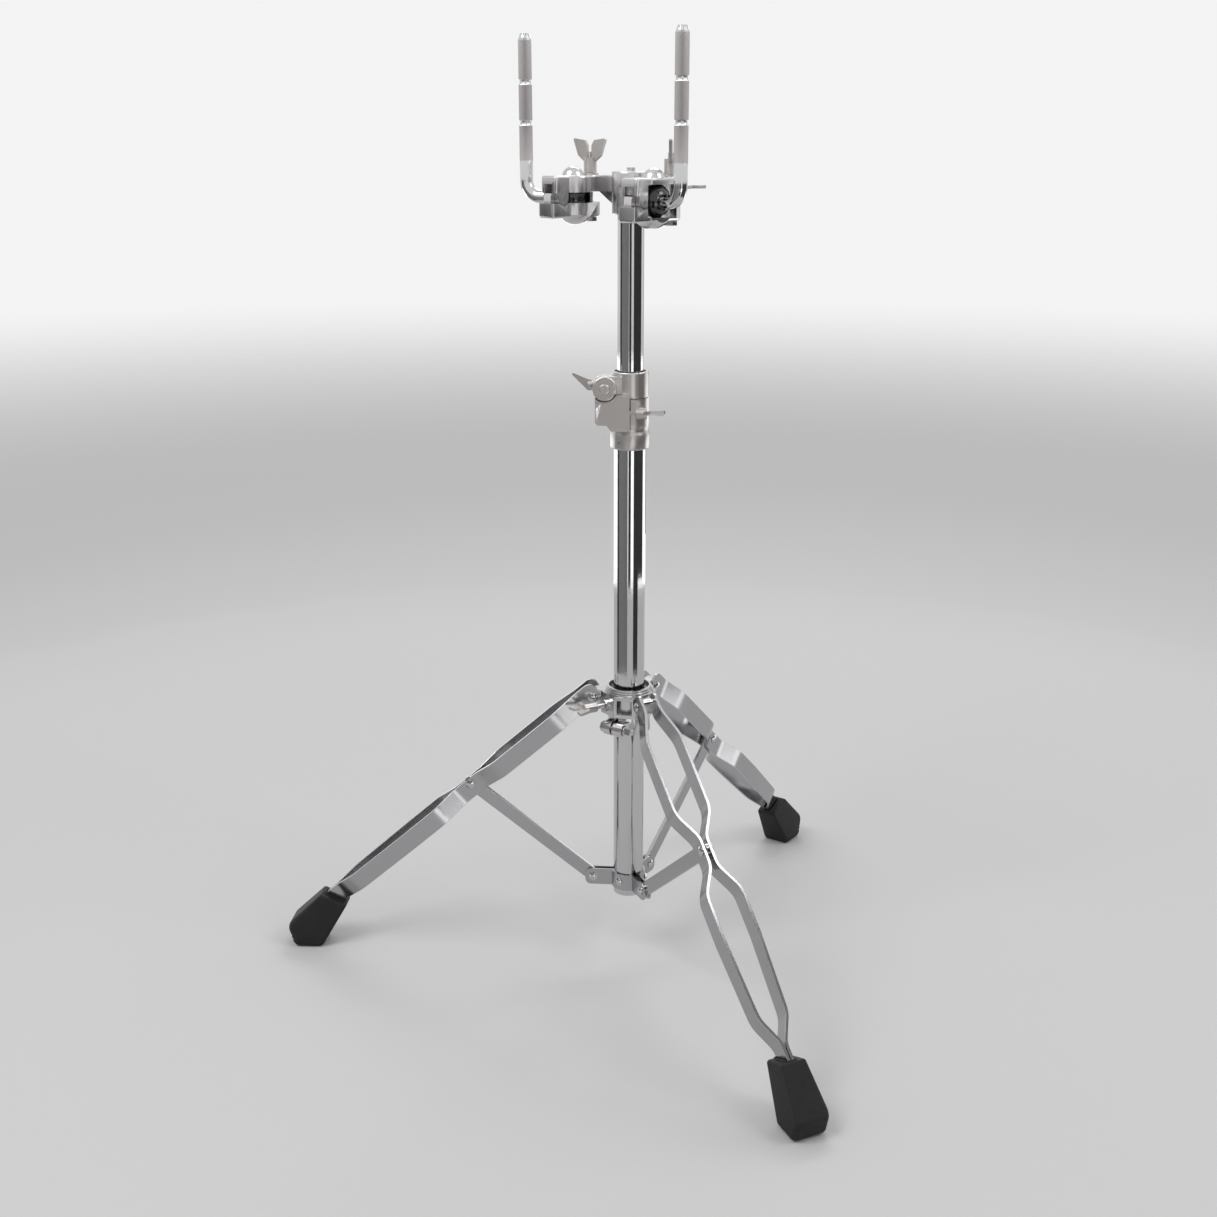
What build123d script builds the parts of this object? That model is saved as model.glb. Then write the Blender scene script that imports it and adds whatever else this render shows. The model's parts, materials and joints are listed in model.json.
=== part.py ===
from build123d import *
from math import asin, atan2, cos, degrees, hypot, radians, sin, sqrt
import os

# Double tom stand: folding tripod, telescoping column, twin ball-clamp yoke and two L-arms.
# Millimetres, +Z up. Origin on the floor under the column; the left leg points along -X.

os.makedirs("parts", exist_ok=True)

# ---------------------------------------------------------------- clearances
slide_clearance = 0.05  # a tube or rod that slides or turns in its bore
turn_clearance = 0.06  # a pin in the hole it turns in
seat_clearance = 0.02  # a piece held still in its seat
side_clearance = 0.3  # faces of different moving pieces
open_clearance = 0.5  # a tube through a ring it is not guided by

# ------------------------------------------------------------------- column
base_tube_diameter = 31.75
base_tube_wall = 1.6
base_tube_bottom = 76.0
upper_tube_diameter = 25.4
upper_tube_wall = 1.6
upper_tube_bottom = 330.0
base_tube_radius = base_tube_diameter / 2
upper_tube_radius = upper_tube_diameter / 2

# ------------------------------------------------------------------- tripod
leg_azimuths = {"left": 180.0, "front": 300.0, "back": 60.0}
pivot_radius = 37.5  # pivots of collar and bracket, from the column axis
lower_pivot_height = 92.0
link_length = 167.0  # strut, and the stretch of leg above it
spread_angle = 38.5  # below the horizontal, pivot to pivot, legs open
pivot_offset = 4.0  # leg holes beside the middle line of the strap
knee_height = lower_pivot_height + link_length * sin(radians(spread_angle))
knee_radius = pivot_radius + link_length * cos(radians(spread_angle))
collar_pivot_height = knee_height + link_length * sin(radians(spread_angle))
strap_slope = spread_angle + degrees(asin(2 * pivot_offset / link_length))
knee_station = sqrt(link_length**2 - (2 * pivot_offset) ** 2)

strap_width = 19.5
strap_thickness = 3.0
strap_end_radius = 7.5
strap_top_overhang = 9.5
strap_foot_insert = 43.5  # strap end beyond the mouth of the boot
strap_foot_margin = 12.5  # the straps run side by side this far short of the mouth
strap_foot_run = 26.0  # and close in on each other over this length above it
bow_shoulder_run = 72.0  # widest part of the bow below the knee
bow_bend_run = 27.0  # from the knee's flat to the full bow
bow_half_gap = 17.5  # half the free space between the two straps where they bow out
bow_middle_half_gap = 13.5
boot_half_gap = 0.5
strut_width = 14.5
strut_thickness = 4.0
knee_flat_length = 32.0
knee_pin_diameter = 6.0
rivet_head_height = 2.2
rivet_head_overhang = 2.0

# --------------------------------------------------------------- lower bracket
plate_thickness = 2.0
plate_height = 18.0
ear_overhang = 8.5  # ear end beyond the pivot
ear_corner_radius = 6.0
strut_pin_diameter = 5.0
plate_rivet_diameter = 4.0

# ----------------------------------------------------------------------- boots
boot_reach = 368.0  # outer edge of the sole
boot_sole_length = 31.0
boot_toe_overhang = 7.0
boot_heel_overhang = 4.0
boot_toe_height = 25.0
boot_heel_height = 9.0
boot_mouth_setback = 45.5  # from the outer edge of the sole to the middle of the mouth
boot_sole_groove = 1.5
boot_lip_width = 31.0
boot_width = 38.0
boot_corner_radius = 4.0
boot_lip_height = 5.0
boot_lip_tilt = 22.0
boot_heel_reach = boot_reach - boot_sole_length
boot_entry_radius = boot_reach - boot_mouth_setback  # where the straps' middle line enters

# -------------------------------------------------------------------- collar
collar_pivot_lift = 16.92  # leg pivots above the collar's lower rim
collar_bottom = collar_pivot_height - collar_pivot_lift
collar_sleeve_wall = 2.6
collar_bush_wall = 1.5
collar_plate_bottom = collar_bottom + 19.5
collar_plate_top = collar_plate_bottom + 3.5
collar_lip_top = collar_plate_top + 6.0
collar_lip_inner_radius = 20.85
collar_lip_outer_radius = 23.0
collar_lip_step = 1.2
collar_corner_radius = 28.0
collar_shoulder = 28.5  # where the skirt meets the sides of a lug
collar_face_turn = 37.0  # a skirt face beside its leg, seen from above
collar_wall = 2.4
collar_lug_width = 14.0
collar_lug_overhang = 7.0
collar_lug_bottom = collar_bottom + 8.5
collar_lug_top = collar_plate_top + 2.5
collar_window_width = 11.0
collar_window_height = 12.0
collar_screw_azimuth = 215.0
collar_screw_height = collar_bottom + 11.0
collar_screw_boss_radius = 6.5
collar_screw_boss_reach = 31.0

# ----------------------------------------------------------------- stop clamp
stop_top = collar_bottom - 0.5
stop_height = 20.0
stop_wall = 6.0
stop_azimuth = 240.0
stop_ear_reach = 27.0
stop_ear_radius = 7.5
stop_ear_height = stop_top - 11.5
stop_slot = 2.4
stop_left_ear_thickness = 8.5
stop_right_ear_thickness = 11.5
key_bolt_diameter = 5.0
key_head_width = 6.4
key_head_length = 7.0

# -------------------------------------------------------------- height joint
joint_azimuth = -86.4  # the side of the split
joint_tube_stop = 598.0  # top end of the base tube; the joint is measured from it
joint_bottom = joint_tube_stop - 37.0
joint_top = joint_tube_stop + 13.5
joint_sleeve_radius = 19.5
joint_body_radius = 19.0
joint_sleeve_top = joint_bottom + 14.0
joint_slot = 1.0
joint_block_bottom = joint_tube_stop - 10.0
joint_block_top = joint_tube_stop + 18.0
joint_block_width = 34.0
joint_block_reach = 28.0
joint_ear_width = 5.0
joint_bolt_reach = 24.0
joint_bolt_height = joint_block_bottom + 11.0
joint_bush_length = 45.0
joint_bush_flange = 2.5
joint_drain_turn = -33.0  # small blind hole in the sleeve, from the split
joint_drain_lift = 7.0
joint_drain_radius = 2.0

# --------------------------------------------------------------- memory lock
lock_bottom = joint_top + 0.5
lock_height = 25.0
lock_radius = 18.0
lock_lip_depth = 4.0
lock_lip_wall = 2.2
lock_slot = 1.2
barrel_radius = 12.0
barrel_side = 25.0
barrel_height = lock_bottom + 10.0
barrel_reach = 24.0
barrel_back = 2.0
barrel_ring_radius = 8.5
barrel_hub_radius = 5.0
barrel_step = 1.6
lock_screw_out = 12.0
lock_screw_lift = 3.0
lock_slot_turn = 28.0
thumb_blade_thickness = 6.0

# ---------------------------------------------------------------- pinch bolts
bolt_diameter = 6.0
nut_width = 10.0
nut_thickness = 5.0

# ---------------------------------------------------------------------- yoke
clamp_azimuth = -130.0  # the way both clamps point; the bar runs across it
clamp_spacing = 104.8  # ball centre to ball centre
ball_reach = 25.3
ball_height = 800.0
ball_radius = 16.0
ball_clearance = 0.25
hub_bottom = ball_height - 15.0
hub_top = ball_height + 24.5
hub_radius = 18.0
hub_cap_thickness = 6.0
hub_boss_radius = 4.0
hub_boss_height = 3.5
hub_ear_reach = 30.0
hub_ear_width = 8.0
hub_ear_bottom = ball_height + 1.0
hub_ear_top = ball_height + 20.5
hub_slot = 1.4
hub_bolt_reach = 23.0
hub_bolt_height = ball_height + 11.0
hub_bolt_shank = 34.0
bar_bottom = ball_height + 5.5
bar_top = ball_height + 20.5
bar_thickness = 14.0
gusset_bottom = ball_height - 5.4
gusset_start = 19.0
gusset_end = 38.0
jaw_wall_inner = 18.5
jaw_wall_outer = 12.0
jaw_end_radius = 9.0
upper_jaw_round = 2.0
lower_jaw_round = 3.0
clamp_bolt_reach = 2.0
upper_jaw_bottom = ball_height + 5.0
lower_jaw_top = ball_height - 4.6
lower_jaw_bottom = ball_height - 18.5
dome_radius = 10.8
dome_sink = 2.3  # dome centre below the top of the bar
bulge_radius = 19.6
bulge_depth = 7.0  # below the lower jaw
bulge_inset = 2.5  # toward the hub, so the bulge ends at the jaw's outer wall
jaw_opening_radius = 14.6
lug_width = 21.0
lug_reach = 58.0
lug_corner = 3.0
lower_lug_extra_reach = 4.0
window_width = 10.0
window_bottom = ball_height + 6.0
window_top = ball_height + 13.0
jaw_pin_reach = 48.0
jaw_pin_height = ball_height
jaw_pin_diameter = 4.0
cheek_radius = 6.5
tab_proud = 1.5  # hinge tab beyond the front of the upper lug
tab_round = 4.0
clamp_bolt_head = 11.0
clamp_bolt_head_thickness = 4.0
clamp_bolt_seat_gap = 0.4
clamp_bolt_play = 1.25  # round the bolt in the lower jaw, for the jaw's tilt
wing_nut_seat = bar_top + 2.0
clamp_bolt_top = wing_nut_seat + 23.5
wing_nut_height = 31.5
wing_nut_half_span = 20.0
wing_nut_turn = {"left": 94.0, "right": 40.0}
set_screw_height = ball_height + 11.0
set_screw_azimuth = -118.0
set_screw_diameter = 6.0

# ---------------------------------------------------------------------- arms
rod_diameter = 12.7
bend_radius = 15.0
post_top = 948.5
post_tip_length = 6.0
post_tip_diameter = 8.5
arm_legs = {"left": (161.6, 49.0, 7.0), "right": (-52.4, 42.0, 14.0)}
groove_heights = (868.0, 905.0)
groove_width = 5.0
groove_depth = 1.0
wing_thickness = 2.8


def local_plane(azimuth, out, side, up, look="up"):
    """Plane at out along the azimuth, side to its left and up, looking up, out or across."""
    a = radians(azimuth)
    outward = Vector(cos(a), sin(a), 0)
    leftward = Vector(-sin(a), cos(a), 0)
    origin = outward * out + leftward * side + Vector(0, 0, up)
    if look == "up":
        return Plane(origin=origin, x_dir=outward, z_dir=(0, 0, 1))
    if look == "out":
        return Plane(origin=origin, x_dir=leftward, z_dir=outward)
    return Plane(origin=origin, x_dir=outward, z_dir=leftward * -1)


def finish(part, name):
    """Label the piece and write it."""
    part.label = name
    export_step(part, f"parts/{name}.step")


def wing(plane, half_span, height, stem_radius, stem_height):
    """Stem up the plane's normal and two angular blades in its local XZ plane."""
    blade = Plane(origin=plane.origin, x_dir=plane.x_dir, z_dir=plane.y_dir * -1)
    with Locations(plane):
        Cylinder(stem_radius, stem_height, align=(Align.CENTER, Align.CENTER, Align.MIN))
    with BuildSketch(blade) as blades:
        with BuildLine():
            Polyline(
                (0, stem_height * 0.7),
                (stem_radius, stem_height * 0.7),
                (half_span * 0.72, height * 0.5),
                (half_span, height * 0.96),
                (half_span - 1.2, height),
                (half_span * 0.3, height * 0.95),
                (0, height * 0.66),
                (0, stem_height * 0.7),
            )
        make_face()
        mirror(about=Plane.YZ)
    extrude(blades.sketch, amount=wing_thickness / 2, both=True)


# ================================================================== the column
with BuildPart() as base_tube:
    with BuildSketch(Plane.XY.offset(base_tube_bottom)):
        Circle(base_tube_radius)
        Circle(base_tube_radius - base_tube_wall, mode=Mode.SUBTRACT)
    extrude(amount=joint_tube_stop - base_tube_bottom)
    for azimuth in leg_azimuths.values():
        with BuildSketch(local_plane(azimuth + 60, 0, 0, lower_pivot_height, "out")):
            Circle(plate_rivet_diameter / 2 + seat_clearance)
        extrude(amount=base_tube_diameter, mode=Mode.SUBTRACT)
finish(base_tube.part, "base_tube")

upper_tube_top = hub_top - hub_cap_thickness - side_clearance
with BuildPart() as upper_tube:
    with BuildSketch(Plane.XY.offset(upper_tube_bottom)):
        Circle(upper_tube_radius)
        Circle(upper_tube_radius - upper_tube_wall, mode=Mode.SUBTRACT)
    extrude(amount=upper_tube_top - upper_tube_bottom)
    chamfer(upper_tube.edges().group_by(Axis.Z)[0].sort_by(SortBy.RADIUS)[-1], 0.5)
finish(upper_tube.part, "upper_tube")

# ============================================================ lower leg bracket
ear_gap = strut_thickness / 2 + 0.15
plate_inner_radius = base_tube_radius + seat_clearance
plate_outer_radius = plate_inner_radius + plate_thickness
ear_end = pivot_radius + ear_overhang
plate_bottom = lower_pivot_height - plate_height / 2

for number, azimuth in enumerate(leg_azimuths.values(), start=1):
    middle = azimuth + 60
    with BuildPart() as bracket_plate:
        with BuildSketch(local_plane(middle, 0, 0, plate_bottom)):
            Circle(plate_outer_radius)
            Circle(plate_inner_radius, mode=Mode.SUBTRACT)
            with BuildLine():
                apex = ear_gap / sin(radians(60))
                Polyline(
                    (apex, 0),
                    (apex + ear_end, -ear_end * sqrt(3)),
                    (apex + 3 * ear_end, 0),
                    (apex + ear_end, ear_end * sqrt(3)),
                    (apex, 0),
                )
            make_face(mode=Mode.INTERSECT)
        extrude(amount=plate_height)
        for turn, toward in ((-60, 1), (60, -1)):
            ear_middle = toward * (ear_gap + plate_thickness / 2)
            ear_length = ear_end - plate_inner_radius
            ear_centre = plate_inner_radius + ear_length / 2
            with BuildSketch(local_plane(middle + turn, ear_centre, ear_middle, plate_bottom)):
                Rectangle(ear_length, plate_thickness)
            extrude(amount=plate_height)
        ear_corners = bracket_plate.edges().filter_by(
            lambda e: e.length < 1.01 * plate_thickness and hypot(e.center().X, e.center().Y) > pivot_radius
        )
        fillet(ear_corners, ear_corner_radius)
        for turn in (-60, 60):
            with BuildSketch(local_plane(middle + turn, pivot_radius, 0, lower_pivot_height, "across")):
                Circle(strut_pin_diameter / 2 + seat_clearance)
            extrude(amount=ear_gap + 2 * plate_thickness, both=True, mode=Mode.SUBTRACT)
        with BuildSketch(local_plane(middle, 0, 0, lower_pivot_height, "out")):
            Circle(plate_rivet_diameter / 2 + seat_clearance)
        extrude(amount=base_tube_diameter, mode=Mode.SUBTRACT)
    finish(bracket_plate.part, f"bracket_plate_{number}")


def rivet(plane, shank_radius, grip_start, grip_end):
    """Rivet along the plane's normal with a low round head at each end of its grip."""
    head_radius = shank_radius + rivet_head_overhang
    with BuildSketch(Plane(origin=plane.origin, x_dir=plane.x_dir, z_dir=plane.y_dir * -1)) as section:
        with BuildLine():
            Polyline(
                (0, grip_start - rivet_head_height),
                (head_radius * 0.55, grip_start - rivet_head_height),
                (head_radius, grip_start - rivet_head_height * 0.35),
                (head_radius, grip_start),
                (shank_radius, grip_start),
                (shank_radius, grip_end),
                (head_radius, grip_end),
                (head_radius, grip_end + rivet_head_height * 0.35),
                (head_radius * 0.55, grip_end + rivet_head_height),
                (0, grip_end + rivet_head_height),
                (0, grip_start - rivet_head_height),
            )
        make_face()
    revolve(section.sketch, axis=Axis(plane.origin, plane.z_dir))


with BuildPart() as plate_rivets:
    for azimuth in leg_azimuths.values():
        rivet_inner = base_tube_radius - base_tube_wall - 0.65
        rivet_plane = local_plane(azimuth + 60, 0, 0, lower_pivot_height, "out")
        rivet(rivet_plane, plate_rivet_diameter / 2, rivet_inner, plate_outer_radius)
finish(plate_rivets.part, "plate_rivets")

strut_grip = ear_gap + plate_thickness
with BuildPart() as strut_rivets:
    for azimuth in leg_azimuths.values():
        pivot_plane = local_plane(azimuth, pivot_radius, 0, lower_pivot_height, "across")
        rivet(pivot_plane, strut_pin_diameter / 2, -strut_grip, strut_grip)
finish(strut_rivets.part, "strut_rivets")


# ======================================================================== legs
def strap_plane(azimuth):
    """Origin on the strap's middle line beside the top pivot, x down the strap, y across."""
    side_view = local_plane(azimuth, 0, 0, 0, "across")
    slope = radians(strap_slope)
    along = side_view.x_dir * cos(slope) - side_view.y_dir * sin(slope)
    upright = side_view.x_dir * sin(slope) + side_view.y_dir * cos(slope)
    pivot = side_view.x_dir * pivot_radius + side_view.y_dir * collar_pivot_height
    return Plane(origin=pivot + upright * pivot_offset, x_dir=along, z_dir=upright)


lug_half_gap = collar_lug_width / 2 + 0.15
knee_half_gap = strut_thickness / 2 + 0.15
knee_flat_start = knee_station - 13.0
knee_flat_end = knee_flat_start + knee_flat_length
strap_start_radius = pivot_radius + pivot_offset * sin(radians(strap_slope))
boot_entry_station = (boot_entry_radius - strap_start_radius) / cos(radians(strap_slope))
strap_length = boot_entry_station + strap_foot_insert
strap_foot_start = boot_entry_station - strap_foot_margin
bow_points = [
    (-strap_top_overhang, lug_half_gap),
    (14.0, lug_half_gap),
    (44.0, bow_half_gap),
    (knee_flat_start - bow_bend_run, bow_half_gap),
    (knee_flat_start, knee_half_gap),
    (knee_flat_end, knee_half_gap),
    (knee_flat_end + bow_bend_run, bow_half_gap),
    (knee_flat_end + bow_shoulder_run, bow_half_gap),
    (strap_foot_start - strap_foot_run, bow_middle_half_gap),
    (strap_foot_start, boot_half_gap),
    (strap_length, boot_half_gap),
]
bow_radii = [30.0, 45.0, 28.0, 24.0, 24.0, 28.0, 160.0, 30.0, 22.0]

for side, azimuth in leg_azimuths.items():
    plane = strap_plane(azimuth)
    low_edge = Plane(origin=plane.origin - plane.z_dir * strap_width / 2, x_dir=plane.x_dir, z_dir=plane.z_dir)
    with BuildPart() as leg_strap_a:
        with BuildLine(low_edge):
            FilletPolyline(*bow_points, radius=bow_radii)
        make_brake_formed(strap_thickness, strap_width, side=Side.LEFT)
        ends = leg_strap_a.edges().filter_by(lambda e: abs(e.length - strap_thickness) < 0.01)
        top_corners = ends.sort_by(Axis(plane.origin, plane.x_dir))[:2]
        fillet(top_corners, strap_end_radius)
        with BuildSketch(local_plane(azimuth, 0, 0, 0, "across")):
            with Locations((pivot_radius, collar_pivot_height), (knee_radius, knee_height)):
                Circle(knee_pin_diameter / 2 + seat_clearance)
        extrude(amount=boot_width, both=True, mode=Mode.SUBTRACT)
    finish(leg_strap_a.part, f"leg_strap_{side}_a")

    with BuildPart() as leg_strap_b:
        mirror(leg_strap_a.part, about=local_plane(azimuth, 0, 0, 0, "across"))
    finish(leg_strap_b.part, f"leg_strap_{side}_b")

    knee_plane = local_plane(azimuth, knee_radius, 0, knee_height, "across")
    knee_grip = knee_half_gap + strap_thickness
    with BuildPart() as knee_pin:
        rivet(knee_plane, knee_pin_diameter / 2 - seat_clearance, -knee_grip, knee_grip)
    finish(knee_pin.part, f"knee_pin_{side}")

    with BuildPart() as strut:
        with BuildSketch(local_plane(azimuth, 0, 0, 0, "across")):
            middle_point = ((pivot_radius + knee_radius) / 2, (lower_pivot_height + knee_height) / 2)
            with Locations(Location(middle_point, spread_angle)):
                SlotCenterToCenter(link_length, strut_width)
            with Locations((pivot_radius, lower_pivot_height)):
                Circle(strut_pin_diameter / 2 + turn_clearance, mode=Mode.SUBTRACT)
            with Locations((knee_radius, knee_height)):
                Circle(knee_pin_diameter / 2 + turn_clearance, mode=Mode.SUBTRACT)
        extrude(amount=strut_thickness / 2, both=True)
    finish(strut.part, f"strut_{side}")

    entry_height = plane.origin.Z - boot_entry_station * sin(radians(strap_slope))
    tilt = radians(boot_lip_tilt)
    lip_out = boot_lip_width / 2 * cos(tilt)
    lip_rise = boot_lip_width / 2 * sin(tilt)
    lip_low = (boot_entry_radius - lip_out, entry_height - lip_rise)
    lip_high = (boot_entry_radius + lip_out, entry_height + lip_rise)
    with BuildPart() as boot:
        with BuildSketch(local_plane(azimuth, 0, 0, 0, "across")):
            with BuildLine():
                Polyline(
                    lip_low,
                    lip_high,
                    (boot_reach + boot_toe_overhang, boot_toe_height),
                    (boot_reach, 0),
                    (boot_heel_reach, 0),
                    (boot_heel_reach - boot_heel_overhang, boot_heel_height),
                    lip_low,
                )
            make_face()
        extrude(amount=boot_width / 2, both=True)
        long_edges = boot.edges().filter_by(
            lambda e: e.length < 60 and e.center().Z > 4 and abs(e.length - boot_width) > 0.1
        )
        fillet(long_edges, boot_corner_radius)
        lip_plane = Plane(
            origin=local_plane(azimuth, boot_entry_radius, 0, entry_height).origin,
            x_dir=local_plane(azimuth, 0, 0, 0, "out").x_dir,
            z_dir=local_plane(azimuth, 0, 0, 0).x_dir * -sin(tilt) + Vector(0, 0, cos(tilt)),
        )
        with BuildSketch(lip_plane):
            RectangleRounded(boot_width + 1.5, boot_lip_width + 1.5, boot_corner_radius)
        extrude(amount=-boot_lip_height)
        slot_start = boot_entry_station - boot_lip_width
        down_strap = Plane(origin=plane.origin, x_dir=plane.y_dir, z_dir=plane.x_dir)
        with BuildSketch(down_strap.offset(slot_start)):
            Rectangle(2 * (boot_half_gap + strap_thickness + seat_clearance), strap_width + 2 * seat_clearance)
        extrude(amount=strap_length - slot_start + seat_clearance, mode=Mode.SUBTRACT)
        with BuildSketch(local_plane(azimuth, boot_heel_reach + boot_sole_length / 2, 0, 0)):
            Rectangle(boot_sole_groove, boot_width)
        extrude(amount=boot_sole_groove, mode=Mode.SUBTRACT)
    finish(boot.part, f"rubber_foot_{side}")


# ================================================================== stop clamp
stop_inner = base_tube_radius + slide_clearance
stop_outer = stop_inner + stop_wall
stop_bottom = stop_top - stop_height
ear_base = local_plane(stop_azimuth, stop_ear_reach, 0, stop_ear_height, "across")
with BuildPart() as stop_clamp:
    with BuildSketch(Plane.XY.offset(stop_bottom)):
        Circle(stop_outer)
    extrude(amount=stop_height)
    chamfer(stop_clamp.edges().filter_by(GeomType.CIRCLE), 1.0)
    with BuildSketch(ear_base):
        Circle(stop_ear_radius)
        with Locations((-stop_ear_radius, 0)):
            Rectangle(2 * stop_ear_radius, 2 * stop_ear_radius - 1)
    extrude(amount=-stop_right_ear_thickness - stop_slot / 2)
    with BuildSketch(ear_base):
        Circle(stop_ear_radius)
        with Locations((-stop_ear_radius, 0)):
            Rectangle(2 * stop_ear_radius, 2 * stop_ear_radius)
    extrude(amount=stop_left_ear_thickness + stop_slot / 2)
    with BuildSketch(Plane.XY.offset(stop_bottom)):
        Circle(stop_inner)
    extrude(amount=stop_height, mode=Mode.SUBTRACT)
    with BuildSketch(local_plane(stop_azimuth, stop_ear_reach, 0, stop_bottom)):
        Rectangle(2 * stop_ear_reach, stop_slot)
    extrude(amount=stop_height, mode=Mode.SUBTRACT)
    with BuildSketch(ear_base):
        Circle(key_bolt_diameter / 2 + turn_clearance)
    extrude(amount=stop_ear_reach, both=True, mode=Mode.SUBTRACT)
finish(stop_clamp.part, "stop_clamp")

key_side = stop_right_ear_thickness + stop_slot / 2 + side_clearance
nut_side = stop_left_ear_thickness + stop_slot / 2
key_plane = local_plane(stop_azimuth, stop_ear_reach, 0, stop_ear_height, "across").offset(-key_side)
with BuildPart() as stop_key_bolt:
    with BuildSketch(key_plane):
        Circle(key_bolt_diameter / 2)
    extrude(amount=key_side + nut_side + nut_thickness + 1)
    with BuildSketch(key_plane):
        Circle(stop_ear_radius - 2)
    extrude(amount=-1.6)
    with BuildSketch(key_plane.offset(-1.6)):
        Rectangle(key_head_width, key_head_width, rotation=20)
    extrude(amount=-key_head_length)
    chamfer(stop_key_bolt.faces().sort_by(Axis(key_plane.origin, key_plane.z_dir))[0].edges(), 0.6)
finish(stop_key_bolt.part, "stop_key_bolt")


def hex_nut(plane, hole_radius):
    """Hexagon nut standing up the plane's normal."""
    with BuildSketch(plane) as section:
        RegularPolygon(nut_width / 2, 6, major_radius=False)
        Circle(hole_radius, mode=Mode.SUBTRACT)
    extrude(section.sketch, amount=nut_thickness)


with BuildPart() as stop_nut:
    hex_nut(ear_base.offset(nut_side), key_bolt_diameter / 2 + turn_clearance)
finish(stop_nut.part, "stop_nut")

# ====================================================================== collar
bush_inner = base_tube_radius + slide_clearance
bush_outer = bush_inner + collar_bush_wall
sleeve_outer = bush_outer + seat_clearance + collar_sleeve_wall
lug_end = pivot_radius + collar_lug_overhang
lug_root = 20.0


def collar_outline(inset):
    """Six-sided outline, one corner between each pair of legs and a flat end at each lug."""
    corners = []
    for azimuth in sorted(a % 360 for a in leg_azimuths.values()):
        a = radians(azimuth)
        reach = collar_shoulder - inset
        half = collar_lug_width / 2 - inset / 2
        corners.append((reach * cos(a) + half * sin(a), reach * sin(a) - half * cos(a)))
        corners.append((reach * cos(a) - half * sin(a), reach * sin(a) + half * cos(a)))
        middle = radians(azimuth + 60)
        corners.append(((collar_corner_radius - inset) * cos(middle), (collar_corner_radius - inset) * sin(middle)))
    return corners + corners[:1]


with BuildPart() as tripod_collar:
    with BuildSketch(Plane.XY.offset(collar_bottom)):
        with BuildLine():
            Polyline(*collar_outline(0))
        make_face()
    extrude(amount=collar_plate_top - collar_bottom)
    with BuildSketch(Plane.XY.offset(collar_bottom)):
        with BuildLine():
            Polyline(*collar_outline(collar_wall))
        make_face()
    extrude(amount=collar_plate_bottom - collar_bottom, mode=Mode.SUBTRACT)
    with BuildSketch(Plane.XY.offset(collar_bottom)):
        Circle(sleeve_outer)
    extrude(amount=collar_plate_top - collar_bottom)
    for azimuth in leg_azimuths.values():
        with BuildSketch(local_plane(azimuth, 0, 0, 0, "across")):
            with BuildLine():
                Polyline(
                    (lug_root, collar_plate_top),
                    (lug_root + 6, collar_plate_top),
                    (pivot_radius - 2, collar_lug_top),
                    (lug_end, collar_lug_top),
                    (lug_end, collar_lug_bottom),
                    (lug_root + 8, collar_lug_bottom),
                    (lug_root, collar_bottom),
                    (lug_root, collar_plate_top),
                )
            make_face()
        extrude(amount=collar_lug_width / 2, both=True)
        lug_corners = tripod_collar.edges().filter_by(
            lambda e: abs(e.length - collar_lug_width) < 0.01
            and abs(hypot(e.center().X, e.center().Y) - lug_end) < 0.1
        )
        fillet(lug_corners, 4.0)
    for step in range(3):
        lip_radius = collar_lip_outer_radius + (2 - step) * collar_lip_step
        with BuildSketch(Plane.XY.offset(collar_plate_top)):
            Circle(lip_radius)
        extrude(amount=(collar_lip_top - collar_plate_top) * (step + 1) / 3)
    with BuildSketch(local_plane(collar_screw_azimuth, lug_root - 2, 0, collar_screw_height, "out")):
        Circle(collar_screw_boss_radius)
    extrude(amount=collar_screw_boss_reach - lug_root + 2)
    with BuildSketch(Plane.XY.offset(collar_plate_top - 1)):
        Circle(collar_lip_inner_radius)
    extrude(amount=collar_lip_top - collar_plate_top + 1, mode=Mode.SUBTRACT)
    with BuildSketch(Plane.XY.offset(collar_bottom)):
        Circle(bush_outer + seat_clearance)
    extrude(amount=collar_lip_top - collar_bottom, mode=Mode.SUBTRACT)
    window_height = (collar_bottom + collar_plate_bottom) / 2
    for azimuth in leg_azimuths.values():
        for turn in (-collar_face_turn, collar_face_turn):
            if abs((azimuth + turn) % 360 - collar_screw_azimuth) > 15:
                window_plane = local_plane(azimuth + turn, sleeve_outer + 1.5, 0, window_height, "out")
                with BuildSketch(window_plane):
                    RectangleRounded(collar_window_width, collar_window_height, 1.5)
                extrude(amount=collar_corner_radius, mode=Mode.SUBTRACT)
        with BuildSketch(local_plane(azimuth, 0, 0, 0, "across")):
            with Locations((pivot_radius, collar_pivot_height)):
                Circle(knee_pin_diameter / 2 + turn_clearance)
        extrude(amount=collar_lug_width, both=True, mode=Mode.SUBTRACT)
    with BuildSketch(local_plane(collar_screw_azimuth, 0, 0, collar_screw_height, "out")):
        Circle(bolt_diameter / 2 + turn_clearance)
    extrude(amount=collar_screw_boss_reach + 1, mode=Mode.SUBTRACT)
finish(tripod_collar.part, "tripod_collar")

with BuildPart() as collar_bush:
    with BuildSketch(Plane.XY.offset(collar_bottom)):
        Circle(bush_outer)
        Circle(bush_inner, mode=Mode.SUBTRACT)
    extrude(amount=collar_plate_top - collar_bottom)
    with BuildSketch(local_plane(collar_screw_azimuth, 0, 0, collar_screw_height, "out")):
        Circle(bolt_diameter / 2 + turn_clearance)
    extrude(amount=base_tube_diameter, mode=Mode.SUBTRACT)
finish(collar_bush.part, "collar_bush")

collar_grip = lug_half_gap + strap_thickness
for side, azimuth in leg_azimuths.items():
    with BuildPart() as top_pin:
        top_plane = local_plane(azimuth, pivot_radius, 0, collar_pivot_height, "across")
        rivet(top_plane, knee_pin_diameter / 2 - seat_clearance, -collar_grip, collar_grip)
    finish(top_pin.part, f"top_pin_{side}")

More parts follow.
